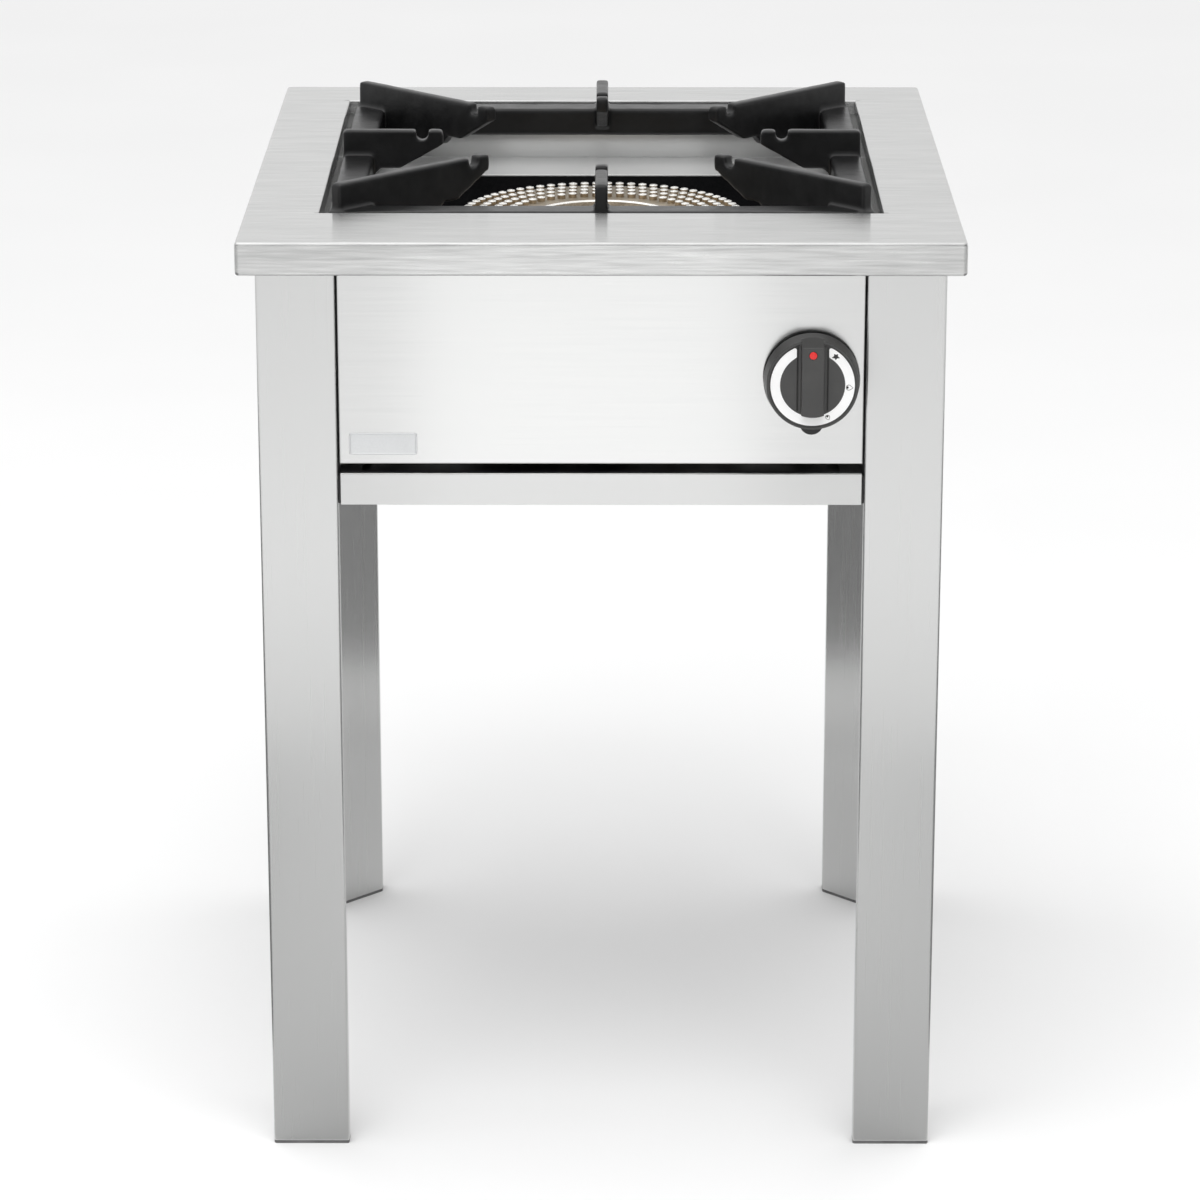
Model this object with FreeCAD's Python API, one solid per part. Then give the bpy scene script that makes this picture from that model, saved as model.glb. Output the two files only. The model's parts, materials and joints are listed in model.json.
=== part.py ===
"""Free-standing gas stool cooker: one ring burner on a four-legged stainless steel stand.

Millimetres. The origin is on the floor under the middle of the object's box, +Z is up,
and the control knob faces -Y. Each function below makes one named piece.
"""
import FreeCAD, Part

import math
import os

V = FreeCAD.Vector
X_AXIS = V(1, 0, 0)
Y_AXIS = V(0, 1, 0)
Z_AXIS = V(0, 0, 1)
FRONT = V(0, -1, 0)

# ---------------------------------------------------------------- driving dimensions
OVERALL_HALF_DEPTH = 314.0      # knob face to the end of the gas inlet is twice this

# Worktop: a folded sheet with a square opening for the pan support
SHEET = 1.5
WORKTOP_HALF_X = 275.0
WORKTOP_HALF_Y = 300.0
WORKTOP_TOP = 740.0
APRON_HEIGHT = 26.0
APRON_RETURN = 10.0
APRON_CORNER_RADIUS = 3.2
WORKTOP_BEND_RADIUS = 2.8
OPENING_HALF_X = 217.0
OPENING_HALF_Y = 219.0
BURNER_Y = 20.0                 # the opening and the burner sit 20 behind the middle
OPENING_FLANGE = 12.0
RELIEF_SLIT_WIDTH = 1.2
RELIEF_SLIT_LENGTH = 4.0

# Legs: folded square section with its inner corner cut off at 45 degrees
LEG_OUTER_X = 261.0
LEG_OUTER_Y = 286.0
LEG_SIZE = 60.0
LEG_CHAMFER = 46.0
LEG_CORNER_RADIUS = 2.0
LEG_HEAD_THICKNESS = 3.0
FOOT_HEIGHT = 2.5
FOOT_PLUG_HEIGHT = 18.0
FOOT_PLUG_CLEARANCE = 0.3

# Skirt panels
PANEL_HALF_X = 199.5
PANEL_BOTTOM = 563.8
SKIRT_BOTTOM = 531.6
PANEL_RETURN = 20.0
PANEL_FLANGE = 12.0
SIDE_PANEL_HALF_Y = 225.5
VENT_LENGTH = 60.0
VENT_HEIGHT = 5.0
VENT_ROWS = 5
VENT_PITCH = 12.0
VENT_BOTTOM = 650.0
VENT_MIDDLE_X = 90.0

# Blank badge on the control panel
BADGE_MIDDLE_X = -166.0
BADGE_MIDDLE_Z = 580.0
BADGE_WIDTH = 52.0
BADGE_HEIGHT = 17.0
BADGE_THICKNESS = 0.6
BADGE_CORNER_RADIUS = 2.0

# Drip tray and its runners
TRAY_FRONT_HALF_X = 199.0
TRAY_FRONT_TOP = 556.6
TRAY_FRONT_LIP = 8.0
TRAY_HALF_X = 196.5
TRAY_LENGTH = 500.0
TRAY_SHEET = 1.2
TRAY_FLOOR = 533.6
TRAY_WALL_TOP = 550.0
RUNNER_SHELF = 18.0
RUNNER_TOP = 553.5
RUNNER_FRONT_GAP = 4.0

# Burner well: the recessed floor under the pan support
WELL_HALF_X = 219.0
WELL_HALF_Y = 221.0
LEDGE_TOP = 690.0
HOLE_HALF_X = 155.0
HOLE_HALF_Y = 149.0
WELL_FLANGE = 10.0
WELL_FLANGE_SHORTER = 13.0

# Burner box: black enamelled shroud under the hole
BOX_SHEET = 1.2
BOX_BOTTOM = 600.0
BOX_FLANGE = 10.0
BOX_CUT_LEFT = -30.0
BOX_CUT_RIGHT = 95.0
BOX_CUT_TOP = 660.0

# Burner: cast body, loose cap with four rings of pins
BURNER_RADIUS = 118.0
CAP_RADIUS = 119.0
CAP_BOTTOM = 683.5
CAP_TOP = 687.5
CAP_INNER_RADIUS = 61.0
BOWL_FLOOR = 672.0
BOWL_FLOOR_RADIUS = 54.0
BOWL_THICKNESS = 4.0
PIN_RADIUS = 3.3
PIN_HEIGHT = 4.0
PIN_RINGS = ((112.5, 72), (100.5, 64), (88.5, 56), (76.5, 48))
BODY_FLOOR = 652.0
BODY_WALL = 5.0
BODY_INNER_RADIUS = 62.0
MIXER_Z = 632.0
MIXER_RADIUS = 22.0
MIXER_BORE = 17.0
MIXER_FRONT = -215.0
MIXER_ELBOW_Y = BURNER_Y - 89.0
BAR_WIDTH = 30.0
BAR_THICKNESS = 2.0
BAR_UPTURN = 15.0
BAR_FRONT_Y = -13.0
BAR_REAR_Y = 90.0
BAR_FRONT_PAD_X = 90.0
BAR_REAR_PAD_X = 60.0
PAD_RADIUS = 8.0
PAD_HEIGHT = 10.0

# Air shutter and jet
SHUTTER_CLEARANCE = 0.05
SHUTTER_WALL = 2.5
SHUTTER_FRONT = -226.0
SHUTTER_LENGTH = 24.0
SHUTTER_BOSS_RADIUS = 5.0
SHUTTER_BOSS_HEIGHT = 7.0
SHUTTER_BOSS_FROM_BACK = 6.0
SET_SCREW_RADIUS = 2.0
SET_SCREW_HEAD_RADIUS = 4.0
SET_SCREW_HEAD_HEIGHT = 4.0
JET_BRACKET_Y = -243.0
JET_BRACKET_HALF_X = 30.0
JET_BRACKET_HALF_Z = 20.0
JET_BRACKET_SHEET = 2.0
JET_BRACKET_ARM_START = -229.0
JET_BRACKET_END = -174.0
JET_LUG_LENGTH = 14.0
JET_LUG_HALF_Z = 6.0
JET_STEM_RADIUS = 7.0
JET_STEM_END = -238.0
JET_BLOCK = 18.0
JET_HEX = 11.0
JET_HEX_LENGTH = 5.0
JET_NOZZLE_LENGTH = 5.0
JET_BORE_RADIUS = 0.9

# Gas tap with a push-and-turn spindle
TAP_X = 159.5
TAP_Z = 632.0
TAP_AXIS_Y = -262.0             # the row of ports behind the control panel
TAP_HALF = 17.0
TAP_EDGE_RADIUS = 3.0
TAP_FRONT = -280.0
TAP_BACK = -244.0
TAP_FLANGE_RADIUS = 14.0
TAP_PORT_LENGTH = 6.0
TAP_OUTLET_RADIUS = 8.0
TAP_INLET_RADIUS = 9.0
PILOT_PORT_RADIUS = 3.5
PILOT_PORT_LENGTH = 8.0
PILOT_PORT_LEFT = 12.0
PILOT_PORT_DOWN = 11.0
TAP_NOSE_RADIUS = 10.0
TAP_NOSE_FRONT = -292.0
SPRING_BORE = 7.0
SPRING_BORE_END = -274.0
SPINDLE_RADIUS = 4.0
SPINDLE_CLEARANCE = 0.05
SPINDLE_END = -262.0
SPINDLE_BORE_END = -255.0
SPINDLE_FRONT = -304.0
SPINDLE_FLAT = 1.2
WASHER_FRONT = -291.0
WASHER_THICKNESS = 1.2
WASHER_RADIUS = 6.8
SPRING_WIRE = 1.0
SPRING_MEAN_RADIUS = 5.6
SPRING_TURNS = 5
MAGNET_RADIUS = 9.0
MAGNET_LENGTH = 30.0
MAGNET_NUT_HEX = 9.0
MAGNET_NUT_LENGTH = 8.0
TAP_NUT_HEX = 24.0
TAP_NUT_THICKNESS = 4.0
COLLAR_RADIUS = 5.6
COLLAR_THICKNESS = 1.0

# Pipes and nuts
INLET_Z = 584.0
INLET_PIPE_RADIUS = 6.0
INLET_BEND_RADIUS = 16.0
NIPPLE_RADIUS = 10.48           # G 1/2 male thread, drawn smooth at its major diameter
NIPPLE_BORE = 7.0
NIPPLE_FREE_LENGTH = 18.0       # thread behind the relief groove, which takes the gas hose
NIPPLE_GROOVE_RADIUS = 9.2
NIPPLE_HEX = 27.0
NIPPLE_COLLAR = 12.0
LOCK_NUT_HEX = 30.0
LOCK_NUT_THICKNESS = 8.0
BURNER_PIPE_RADIUS = 5.0
PIPE_NUT_LENGTH = 8.0
PIPE_NUT_HEX = 19.0
INLET_NUT_HEX = 21.0
CLIP_WIDTH = 10.0
CLIP_SHEET = 1.2
CLIP_TAB_OVERLAP = 16.0
CLIP_POSITIONS = (("front", -60.0), ("rear", 120.0))

# Pilot flame and thermocouple, side by side in front of the burner
PILOT_RADIUS_FROM_BURNER = 131.0
PILOT_ANGLE = -61.0
PILOT_SPACING = 17.0
PILOT_LUG_BOTTOM = 655.0
PILOT_LUG_TOP = 661.0
PILOT_LUG_LENGTH = 9.0
PILOT_LUG_WIDTH = 20.0
PILOT_PLATE_LENGTH = 20.0
PILOT_PLATE_WIDTH = 34.0
PILOT_BRACKET_SHEET = 2.0
PILOT_BODY_RADIUS = 4.5
PILOT_BODY_BOTTOM = 650.0
PILOT_BODY_TOP = 684.0
PILOT_HOOD_BOTTOM = 676.0
PILOT_HOOD_TOP = 689.0
PILOT_HOOD_WALL = 1.5
PILOT_MOUTH_RADIUS = 2.0
PROBE_BOTTOM = 652.0
PROBE_SHOULDER = 678.0
PROBE_TOP = 689.0
PROBE_TIP_STEP = 0.8
PILOT_TUBE_RADIUS = 2.0
PROBE_RADIUS = 3.0
LEAD_RADIUS = 1.25
PILOT_TUBE_BEND = 14.0
LEAD_BEND = 12.0
PILOT_TUBE_TURN_Y = -195.0
LEAD_TURN_Y = -172.0
BOX_ENTRY_Y = -150.0
LEAD_ENTRY_SHIFT = 10.0

# Pan support: square cast ring, four feet, eight fingers
RING_HALF = 211.0
RING_BAR = 25.0
RING_BOTTOM = 716.0
RING_TOP = 739.0
RING_CORNER_RADIUS = 8.0
FINGER_TOP = 760.0
FINGER_THICKNESS = 10.0
FINGER_TIP = 129.0              # from the burner's axis to each tip
FINGER_TIP_HEIGHT = 12.0
FINGER_HEEL = 165.0             # where the sloping underside reaches its lowest point
FINGER_UNDERSIDE = 728.0
FINGER_SIDE_END = 210.5         # outer end of the four fingers in the middle of the sides
FINGER_CORNER_END = 290.0       # outer end of the four fingers along the diagonals
NOTCH_FROM_TIP = 17.0
NOTCH_RADIUS = 5.0
NOTCH_DEPTH = 8.4
CAST_EDGE = 1.8
FINGER_CORNER_RADIUS = 3.0
RING_INNER_RADIUS = 6.0
SUPPORT_FOOT_RADIUS = 9.0
SUPPORT_FOOT_INSET = 14.0

# Knob
KNOB_BACK = -291.5
KNOB_RIM = -308.0
KNOB_FACE = -307.0
KNOB_BACK_RADIUS = 36.75
KNOB_RIM_RADIUS = 34.75
KNOB_FACE_RADIUS = 32.8
KNOB_WALL = 2.5
KNOB_HUB_RADIUS = 9.0
KNOB_HUB_BACK = -298.5
KNOB_HOLLOW_END = -303.5
GRIP_FRONT = -313.6
GRIP_HALF_WIDTH = 8.6
GRIP_TOP = 30.0
GRIP_SLOPE_END = -300.0         # where the grip's sloping upper end runs out on the skirt
GRIP_SLOPE_TOP = 36.0
GRIP_GROOVE_WIDTH = 3.2
GRIP_GROOVE_DEPTH = 0.7
GRIP_GROOVE_LOW = -20.5
GRIP_GROOVE_HIGH = 29.5
GRIP_BOTTOM_RADIUS = 24.2
GRIP_EDGE_RADIUS = 0.8
KNOB_LUG_RADIUS = 9.0
KNOB_LUG_OFFSET = 33.0
KNOB_LUG_FRONT = -296.5
DIAL_INNER_RADIUS = 24.6
DIAL_OUTER_RADIUS = 31.8
DIAL_THICKNESS = 0.4
DIAL_GAP_HALF_WIDTH = 12.2
DIAL_END_RADIUS = 1.5
MARKER_RADIUS = 2.9
MARKER_OFFSET = 24.3


# ---------------------------------------------------------------- helpers
def block(x0, x1, y0, y1, z0, z1):
    """Box between two corners."""
    return Part.makeBox(x1 - x0, y1 - y0, z1 - z0, V(x0, y0, z0))


def centred_block(half_x, half_y, z0, z1, middle_y=0.0):
    """Box centred on X = 0 and on Y = middle_y."""
    return block(-half_x, half_x, middle_y - half_y, middle_y + half_y, z0, z1)


def rod(radius, start, direction, length):
    """Round bar from a point, along a direction."""
    return Part.makeCylinder(radius, length, start, direction)


def hexagon(across_flats, start, direction, length):
    """Hexagonal bar from a point, along a direction."""
    radius = across_flats / math.sqrt(3.0)
    corners = [V(radius * math.cos(a), radius * math.sin(a), 0)
               for a in [math.radians(60.0 * i) for i in range(7)]]
    bar = Part.Face(Part.makePolygon(corners)).extrude(V(0, 0, length))
    bar.Placement = FreeCAD.Placement(start, FreeCAD.Rotation(Z_AXIS, direction))
    return bar


def prism(points, direction):
    """Flat outline pushed along a vector."""
    return Part.Face(Part.makePolygon(points + points[:1])).extrude(direction)


def turned(profile, centre):
    """Ring or disc from (radius, z) points, turned about a vertical axis."""
    points = [V(centre.x + r, centre.y, z) for r, z in profile]
    return Part.Face(Part.makePolygon(points + points[:1])).revolve(centre, Z_AXIS, 360)


def fuse(first, *others):
    """Union with the coplanar faces joined."""
    shape = first.fuse(list(others))
    return shape.removeSplitter()


def is_vertical(edge):
    """True for a straight edge along Z."""
    along = edge.Vertexes[-1].Point - edge.Vertexes[0].Point
    return len(edge.Vertexes) == 2 and math.hypot(along.x, along.y) < 1e-6


def at_height(z):
    """Test for edges that lie in one horizontal plane."""
    return lambda edge: abs(edge.BoundBox.ZMin - z) < 1e-6 and abs(edge.BoundBox.ZMax - z) < 1e-6


def rounded(shape, radius, choose):
    """Fillet on the edges that a test picks."""
    return shape.makeFillet(radius, [edge for edge in shape.Edges if choose(edge)])


def bent_path(points, bend_radius):
    """Wire of straight runs joined by tangent arcs."""
    edges = []
    start = points[0]
    for corner, after in zip(points[1:-1], points[2:]):
        back = (start - corner).normalize()
        onward = (after - corner).normalize()
        half_turn = (math.pi - back.getAngle(onward)) / 2.0
        reach = bend_radius * math.tan(half_turn)
        arc_start = corner + back * reach
        arc_end = corner + onward * reach
        middle = (back + onward).normalize()
        to_centre = bend_radius / math.cos(half_turn)
        arc_middle = corner + middle * (to_centre - bend_radius)
        edges.append(Part.LineSegment(start, arc_start).toShape())
        edges.append(Part.Arc(arc_start, arc_middle, arc_end).toShape())
        start = arc_end
    edges.append(Part.LineSegment(start, points[-1]).toShape())
    return Part.Wire(edges)


def pipe(points, radius, bend_radius):
    """Solid round pipe or lead along bent runs."""
    path = bent_path(points, bend_radius)
    direction = points[1] - points[0]
    section = Part.Wire([Part.makeCircle(radius, points[0], direction)])
    return path.makePipeShell([section], True, True)


def save(name, shape):
    """Write one piece to its own STEP file."""
    if len(shape.Solids) != 1 or not shape.isValid():
        raise ValueError(f"{name}: {len(shape.Solids)} solids, valid {shape.isValid()}")
    solid = shape.Solids[0]
    solid.exportStep(f"parts/{name}.step")
    print(f"{name:24s} {solid.Volume / 1000.0:10.2f} cm3")


# ---------------------------------------------------------------- worktop
def make_worktop():
    """Folded top with an apron all round and a flanged square opening."""
    low = WORKTOP_TOP - APRON_HEIGHT
    outside = centred_block(WORKTOP_HALF_X, WORKTOP_HALF_Y, low, WORKTOP_TOP)
    outside = rounded(outside, APRON_CORNER_RADIUS, is_vertical)
    outside = rounded(outside, WORKTOP_BEND_RADIUS, at_height(WORKTOP_TOP))
    outside = rounded(outside, WORKTOP_BEND_RADIUS, at_height(low))
    inside = centred_block(WORKTOP_HALF_X - SHEET, WORKTOP_HALF_Y - SHEET, low, WORKTOP_TOP - SHEET)
    inside = rounded(inside, APRON_CORNER_RADIUS - SHEET, is_vertical)
    inside = rounded(inside, WORKTOP_BEND_RADIUS - SHEET, at_height(WORKTOP_TOP - SHEET))
    lip_outside = centred_block(WORKTOP_HALF_X - SHEET, WORKTOP_HALF_Y - SHEET, low, low + SHEET)
    lip_outside = rounded(lip_outside, APRON_CORNER_RADIUS - SHEET, is_vertical)
    lip_gap = centred_block(WORKTOP_HALF_X - SHEET - APRON_RETURN,
                            WORKTOP_HALF_Y - SHEET - APRON_RETURN, low, low + SHEET)
    flange = centred_block(OPENING_HALF_X + SHEET, OPENING_HALF_Y + SHEET,
                           WORKTOP_TOP - OPENING_FLANGE, WORKTOP_TOP - SHEET, BURNER_Y)
    opening = centred_block(OPENING_HALF_X, OPENING_HALF_Y, low, WORKTOP_TOP, BURNER_Y)
    folded = outside.cut(inside).fuse(lip_outside.cut(lip_gap).common(outside))
    shape = fuse(folded, flange).cut(opening)
    shape = rounded(shape, SHEET, is_opening_rim)
    for side_x in (-1, 1):
        for side_y in (-1, 1):
            shape = shape.cut(relief_slit(side_x, side_y))
    return shape


def is_opening_rim(edge):
    """True for the top edges of the square opening."""
    box = edge.BoundBox
    inside = abs(box.XMax) < OPENING_HALF_X + 1 and abs(box.YMax - BURNER_Y) < OPENING_HALF_Y + 1
    return at_height(WORKTOP_TOP)(edge) and inside and len(edge.Vertexes) == 2


def relief_slit(side_x, side_y):
    """Short saw cut where two folded edges of the opening meet."""
    x_start = side_x * (OPENING_HALF_X - 1.0)
    x_end = side_x * (OPENING_HALF_X + RELIEF_SLIT_LENGTH)
    y_edge = BURNER_Y + side_y * OPENING_HALF_Y
    y_inner = y_edge - side_y * RELIEF_SLIT_WIDTH
    return block(min(x_start, x_end), max(x_start, x_end), min(y_edge, y_inner), max(y_edge, y_inner),
                 WORKTOP_TOP - OPENING_FLANGE - 1.0, WORKTOP_TOP + 1.0)


# ---------------------------------------------------------------- legs
def leg_outline(side_x, side_y, inset):
    """Corners of the leg's section, moved inwards by inset on every side."""
    outer_x = LEG_OUTER_X - inset
    outer_y = LEG_OUTER_Y - inset
    inner_x = LEG_OUTER_X - LEG_SIZE + inset
    inner_y = LEG_OUTER_Y - LEG_SIZE + inset
    cut = LEG_CHAMFER - (2.0 - math.sqrt(2.0)) * inset
    corners = [(outer_x, outer_y), (inner_x, outer_y), (inner_x, inner_y + cut),
               (inner_x + cut, inner_y), (outer_x, inner_y)]
    return [(side_x * x, side_y * y) for x, y in corners]


def leg_bar(side_x, side_y, inset, z0, z1):
    """Solid bar with the leg's section."""
    points = [V(x, y, z0) for x, y in leg_outline(side_x, side_y, inset)]
    return prism(points, V(0, 0, z1 - z0))


def make_leg(side_x, side_y):
    """Hollow leg, open at both ends."""
    top = WORKTOP_TOP - SHEET
    outside = rounded(leg_bar(side_x, side_y, 0.0, FOOT_HEIGHT, top), LEG_CORNER_RADIUS, is_vertical)
    return outside.cut(leg_bar(side_x, side_y, SHEET, FOOT_HEIGHT, top))


def make_foot(side_x, side_y):
    """Plastic glide: a thin sole and a plug inside the leg."""
    sole = rounded(leg_bar(side_x, side_y, 0.0, 0.0, FOOT_HEIGHT), LEG_CORNER_RADIUS, is_vertical)
    plug_top = FOOT_HEIGHT + FOOT_PLUG_HEIGHT
    plug = leg_bar(side_x, side_y, SHEET + FOOT_PLUG_CLEARANCE, FOOT_HEIGHT, plug_top)
    return fuse(sole, plug)


def make_leg_head(side_x, side_y):
    """Plate welded inside the leg's top end, which carries the worktop."""
    top = WORKTOP_TOP - SHEET
    return leg_bar(side_x, side_y, SHEET, top - LEG_HEAD_THICKNESS, top)


# ---------------------------------------------------------------- skirt panels
def folded_panel(half_x, face_y, inward, z0):
    """Upright sheet with side returns and top and bottom flanges; inward is +1 or -1 along Y."""
    top = WORKTOP_TOP - SHEET
    back_y = face_y + inward * PANEL_RETURN
    outside = block(-half_x, half_x, min(face_y, back_y), max(face_y, back_y), z0, top)
    outside = rounded(outside, SHEET, lambda edge: on_face_edge(edge, face_y, half_x, z0))
    inner_front = face_y + inward * SHEET
    hollow = block(-half_x + SHEET, half_x - SHEET, min(inner_front, back_y), max(inner_front, back_y),
                   z0 + SHEET, top - SHEET)
    flange_end = face_y + inward * PANEL_FLANGE
    beyond = block(-half_x + SHEET, half_x - SHEET, min(flange_end, back_y), max(flange_end, back_y),
                   z0, top)
    return outside.cut(hollow).cut(beyond)


def on_face_edge(edge, face_y, half_x, z0):
    """True for the two side edges and the bottom edge of a folded panel's face."""
    box = edge.BoundBox
    on_face = abs(box.YMin - face_y) < 1e-6 and abs(box.YMax - face_y) < 1e-6
    on_side = abs(abs(box.XMin) - half_x) < 1e-6 and box.ZLength > 1.0
    return on_face and (on_side or abs(box.ZMax - z0) < 1e-6)


def make_control_panel():
    """Front panel with the hole for the tap's nose."""
    shape = folded_panel(PANEL_HALF_X, -LEG_OUTER_Y, 1, PANEL_BOTTOM)
    return shape.cut(rod(TAP_NOSE_RADIUS, V(TAP_X, -LEG_OUTER_Y - 1.0, TAP_Z), Y_AXIS, SHEET + 2.0))


def make_rear_panel():
    """Rear panel with two groups of vents and the hole for the gas inlet."""
    shape = folded_panel(PANEL_HALF_X, LEG_OUTER_Y, -1, SKIRT_BOTTOM)
    for middle_x in (-VENT_MIDDLE_X, VENT_MIDDLE_X):
        for row in range(VENT_ROWS):
            z = VENT_BOTTOM + row * VENT_PITCH
            slot = block(middle_x - VENT_LENGTH / 2, middle_x + VENT_LENGTH / 2,
                         LEG_OUTER_Y - SHEET - 1.0, LEG_OUTER_Y + 1.0, z, z + VENT_HEIGHT)
            shape = shape.cut(slot)
    hole = rod(NIPPLE_RADIUS, V(TAP_X, LEG_OUTER_Y - SHEET - 1.0, INLET_Z), Y_AXIS, SHEET + 2.0)
    return shape.cut(hole)


def make_side_panel(side):
    """Plain side sheet with a return along each edge."""
    face = side * LEG_OUTER_X
    inner = side * (LEG_OUTER_X - PANEL_FLANGE)
    top = WORKTOP_TOP - SHEET
    outside = block(min(face, inner), max(face, inner), -SIDE_PANEL_HALF_Y, SIDE_PANEL_HALF_Y,
                    SKIRT_BOTTOM, top)
    behind_face = side * (LEG_OUTER_X - SHEET)
    hollow = block(min(behind_face, inner), max(behind_face, inner), -SIDE_PANEL_HALF_Y + SHEET,
                   SIDE_PANEL_HALF_Y - SHEET, SKIRT_BOTTOM + SHEET, top - SHEET)
    return outside.cut(hollow)


def make_badge():
    """Blank plate on the control panel."""
    front = -LEG_OUTER_Y - BADGE_THICKNESS
    plate = block(BADGE_MIDDLE_X - BADGE_WIDTH / 2, BADGE_MIDDLE_X + BADGE_WIDTH / 2,
                  front, -LEG_OUTER_Y,
                  BADGE_MIDDLE_Z - BADGE_HEIGHT / 2, BADGE_MIDDLE_Z + BADGE_HEIGHT / 2)
    return rounded(plate, BADGE_CORNER_RADIUS, lambda edge: edge.BoundBox.YLength > BADGE_THICKNESS - 1e-6)


# ---------------------------------------------------------------- drip tray
def make_drip_tray():
    """Shallow pan with a front plate that is folded back along its top."""
    front = -LEG_OUTER_Y
    back = front + TRAY_LENGTH
    floor_low = TRAY_FLOOR
    outside = block(-TRAY_HALF_X, TRAY_HALF_X, front, back, floor_low, TRAY_WALL_TOP)
    inside = block(-TRAY_HALF_X + TRAY_SHEET, TRAY_HALF_X - TRAY_SHEET, front + TRAY_SHEET,
                   back - TRAY_SHEET, floor_low + TRAY_SHEET, TRAY_WALL_TOP)
    plate = block(-TRAY_FRONT_HALF_X, TRAY_FRONT_HALF_X, front, front + TRAY_SHEET,
                  SKIRT_BOTTOM, TRAY_FRONT_TOP)
    lip = block(-TRAY_FRONT_HALF_X, TRAY_FRONT_HALF_X, front, front + TRAY_FRONT_LIP,
                TRAY_FRONT_TOP - TRAY_SHEET, TRAY_FRONT_TOP)
    shape = fuse(outside.cut(inside), plate, lip)
    return rounded(shape, TRAY_SHEET * 0.8, lambda edge: is_tray_fold(edge, front))


def is_tray_fold(edge, front):
    """True for the long top edge of the tray's front plate."""
    box = edge.BoundBox
    return at_height(TRAY_FRONT_TOP)(edge) and abs(box.YMax - front) < 1e-6


def make_tray_runner(side):
    """C-shaped channel between a front and a rear leg, which holds one edge of the tray."""
    web = side * (LEG_OUTER_X - LEG_SIZE)
    web_inner = web - side * SHEET
    edge = web - side * RUNNER_SHELF
    half_y = LEG_OUTER_Y - RUNNER_FRONT_GAP
    outside = block(min(web, edge), max(web, edge), -half_y, half_y, SKIRT_BOTTOM, RUNNER_TOP)
    inside = block(min(web_inner, edge), max(web_inner, edge), -half_y, half_y,
                   SKIRT_BOTTOM + SHEET, RUNNER_TOP - SHEET)
    panel_return = block(min(web_inner, edge), max(web_inner, edge),
                         LEG_OUTER_Y - PANEL_RETURN - 1.0, half_y, SKIRT_BOTTOM, RUNNER_TOP)
    return outside.cut(inside).cut(panel_return)


# ---------------------------------------------------------------- burner well and box
def make_burner_well():
    """Recessed sheet: four walls, a ledge round a hole, and flanges under the worktop."""
    top = WORKTOP_TOP - SHEET
    outside = centred_block(WELL_HALF_X + SHEET, WELL_HALF_Y + SHEET, LEDGE_TOP - SHEET, top, BURNER_Y)
    inside = centred_block(WELL_HALF_X, WELL_HALF_Y, LEDGE_TOP, top, BURNER_Y)
    hole = centred_block(HOLE_HALF_X, HOLE_HALF_Y, LEDGE_TOP - SHEET, LEDGE_TOP, BURNER_Y)
    flange_x = centred_block(WELL_HALF_X + SHEET + WELL_FLANGE, WELL_HALF_Y - WELL_FLANGE_SHORTER,
                             top - SHEET, top, BURNER_Y)
    flange_y = centred_block(WELL_HALF_X - WELL_FLANGE_SHORTER, WELL_HALF_Y + SHEET + WELL_FLANGE,
                             top - SHEET, top, BURNER_Y)
    shape = fuse(outside, flange_x, flange_y)
    return shape.cut(inside).cut(hole)


def make_burner_box():
    """Four enamelled walls under the hole, open below, cut away for the mixing tube."""
    top = LEDGE_TOP - SHEET
    inner_x = HOLE_HALF_X + 0.5
    inner_y = HOLE_HALF_Y + 0.5
    walls = centred_block(inner_x + BOX_SHEET, inner_y + BOX_SHEET, BOX_BOTTOM, top, BURNER_Y)
    flange = centred_block(inner_x + BOX_SHEET + BOX_FLANGE, inner_y + BOX_SHEET + BOX_FLANGE,
                           top - BOX_SHEET, top, BURNER_Y)
    inside = centred_block(inner_x, inner_y, BOX_BOTTOM, top, BURNER_Y)
    front = BURNER_Y - inner_y
    cut_out = block(BOX_CUT_LEFT, BOX_CUT_RIGHT, front - BOX_SHEET - 1.0, front + 1.0,
                    BOX_BOTTOM, BOX_CUT_TOP)
    return fuse(walls, flange).cut(inside).cut(cut_out)


def make_burner_bar(middle_y):
    """Flat bar across the box with turned-up ends, on which the burner stands."""
    half_x = HOLE_HALF_X + 0.5
    top = BODY_FLOOR - PAD_HEIGHT
    low = top - BAR_THICKNESS
    bar = centred_block(half_x, BAR_WIDTH / 2, low, top + BAR_UPTURN, middle_y)
    gap = centred_block(half_x - BAR_THICKNESS, BAR_WIDTH / 2, top, top + BAR_UPTURN, middle_y)
    return bar.cut(gap)


# ---------------------------------------------------------------- burner
def make_burner_body():
    """Cast trough ring with a mixing tube that enters it from below, at the front."""
    centre = V(0, BURNER_Y, 0)
    drum = turned([(BODY_INNER_RADIUS, BODY_FLOOR), (BURNER_RADIUS, BODY_FLOOR),
                   (BURNER_RADIUS, CAP_BOTTOM), (BODY_INNER_RADIUS, CAP_BOTTOM)], centre)
    trough = turned([(BODY_INNER_RADIUS + BODY_WALL, BODY_FLOOR + BODY_WALL),
                     (BURNER_RADIUS - BODY_WALL, BODY_FLOOR + BODY_WALL),
                     (BURNER_RADIUS - BODY_WALL, CAP_BOTTOM),
                     (BODY_INNER_RADIUS + BODY_WALL, CAP_BOTTOM)], centre)
    pads = [rod(PAD_RADIUS, V(x, y, BODY_FLOOR - PAD_HEIGHT), Z_AXIS, PAD_HEIGHT + 2.0)
            for x, y in ((-BAR_FRONT_PAD_X, BAR_FRONT_Y), (BAR_FRONT_PAD_X, BAR_FRONT_Y),
                         (-BAR_REAR_PAD_X, BAR_REAR_Y), (BAR_REAR_PAD_X, BAR_REAR_Y))]
    lugs = [jet_lug(side) for side in (-1, 1)]
    shape = fuse(drum, mixer(MIXER_RADIUS), pilot_lug(), *pads, *lugs)
    return shape.cut(trough).cut(mixer(MIXER_BORE))


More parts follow.
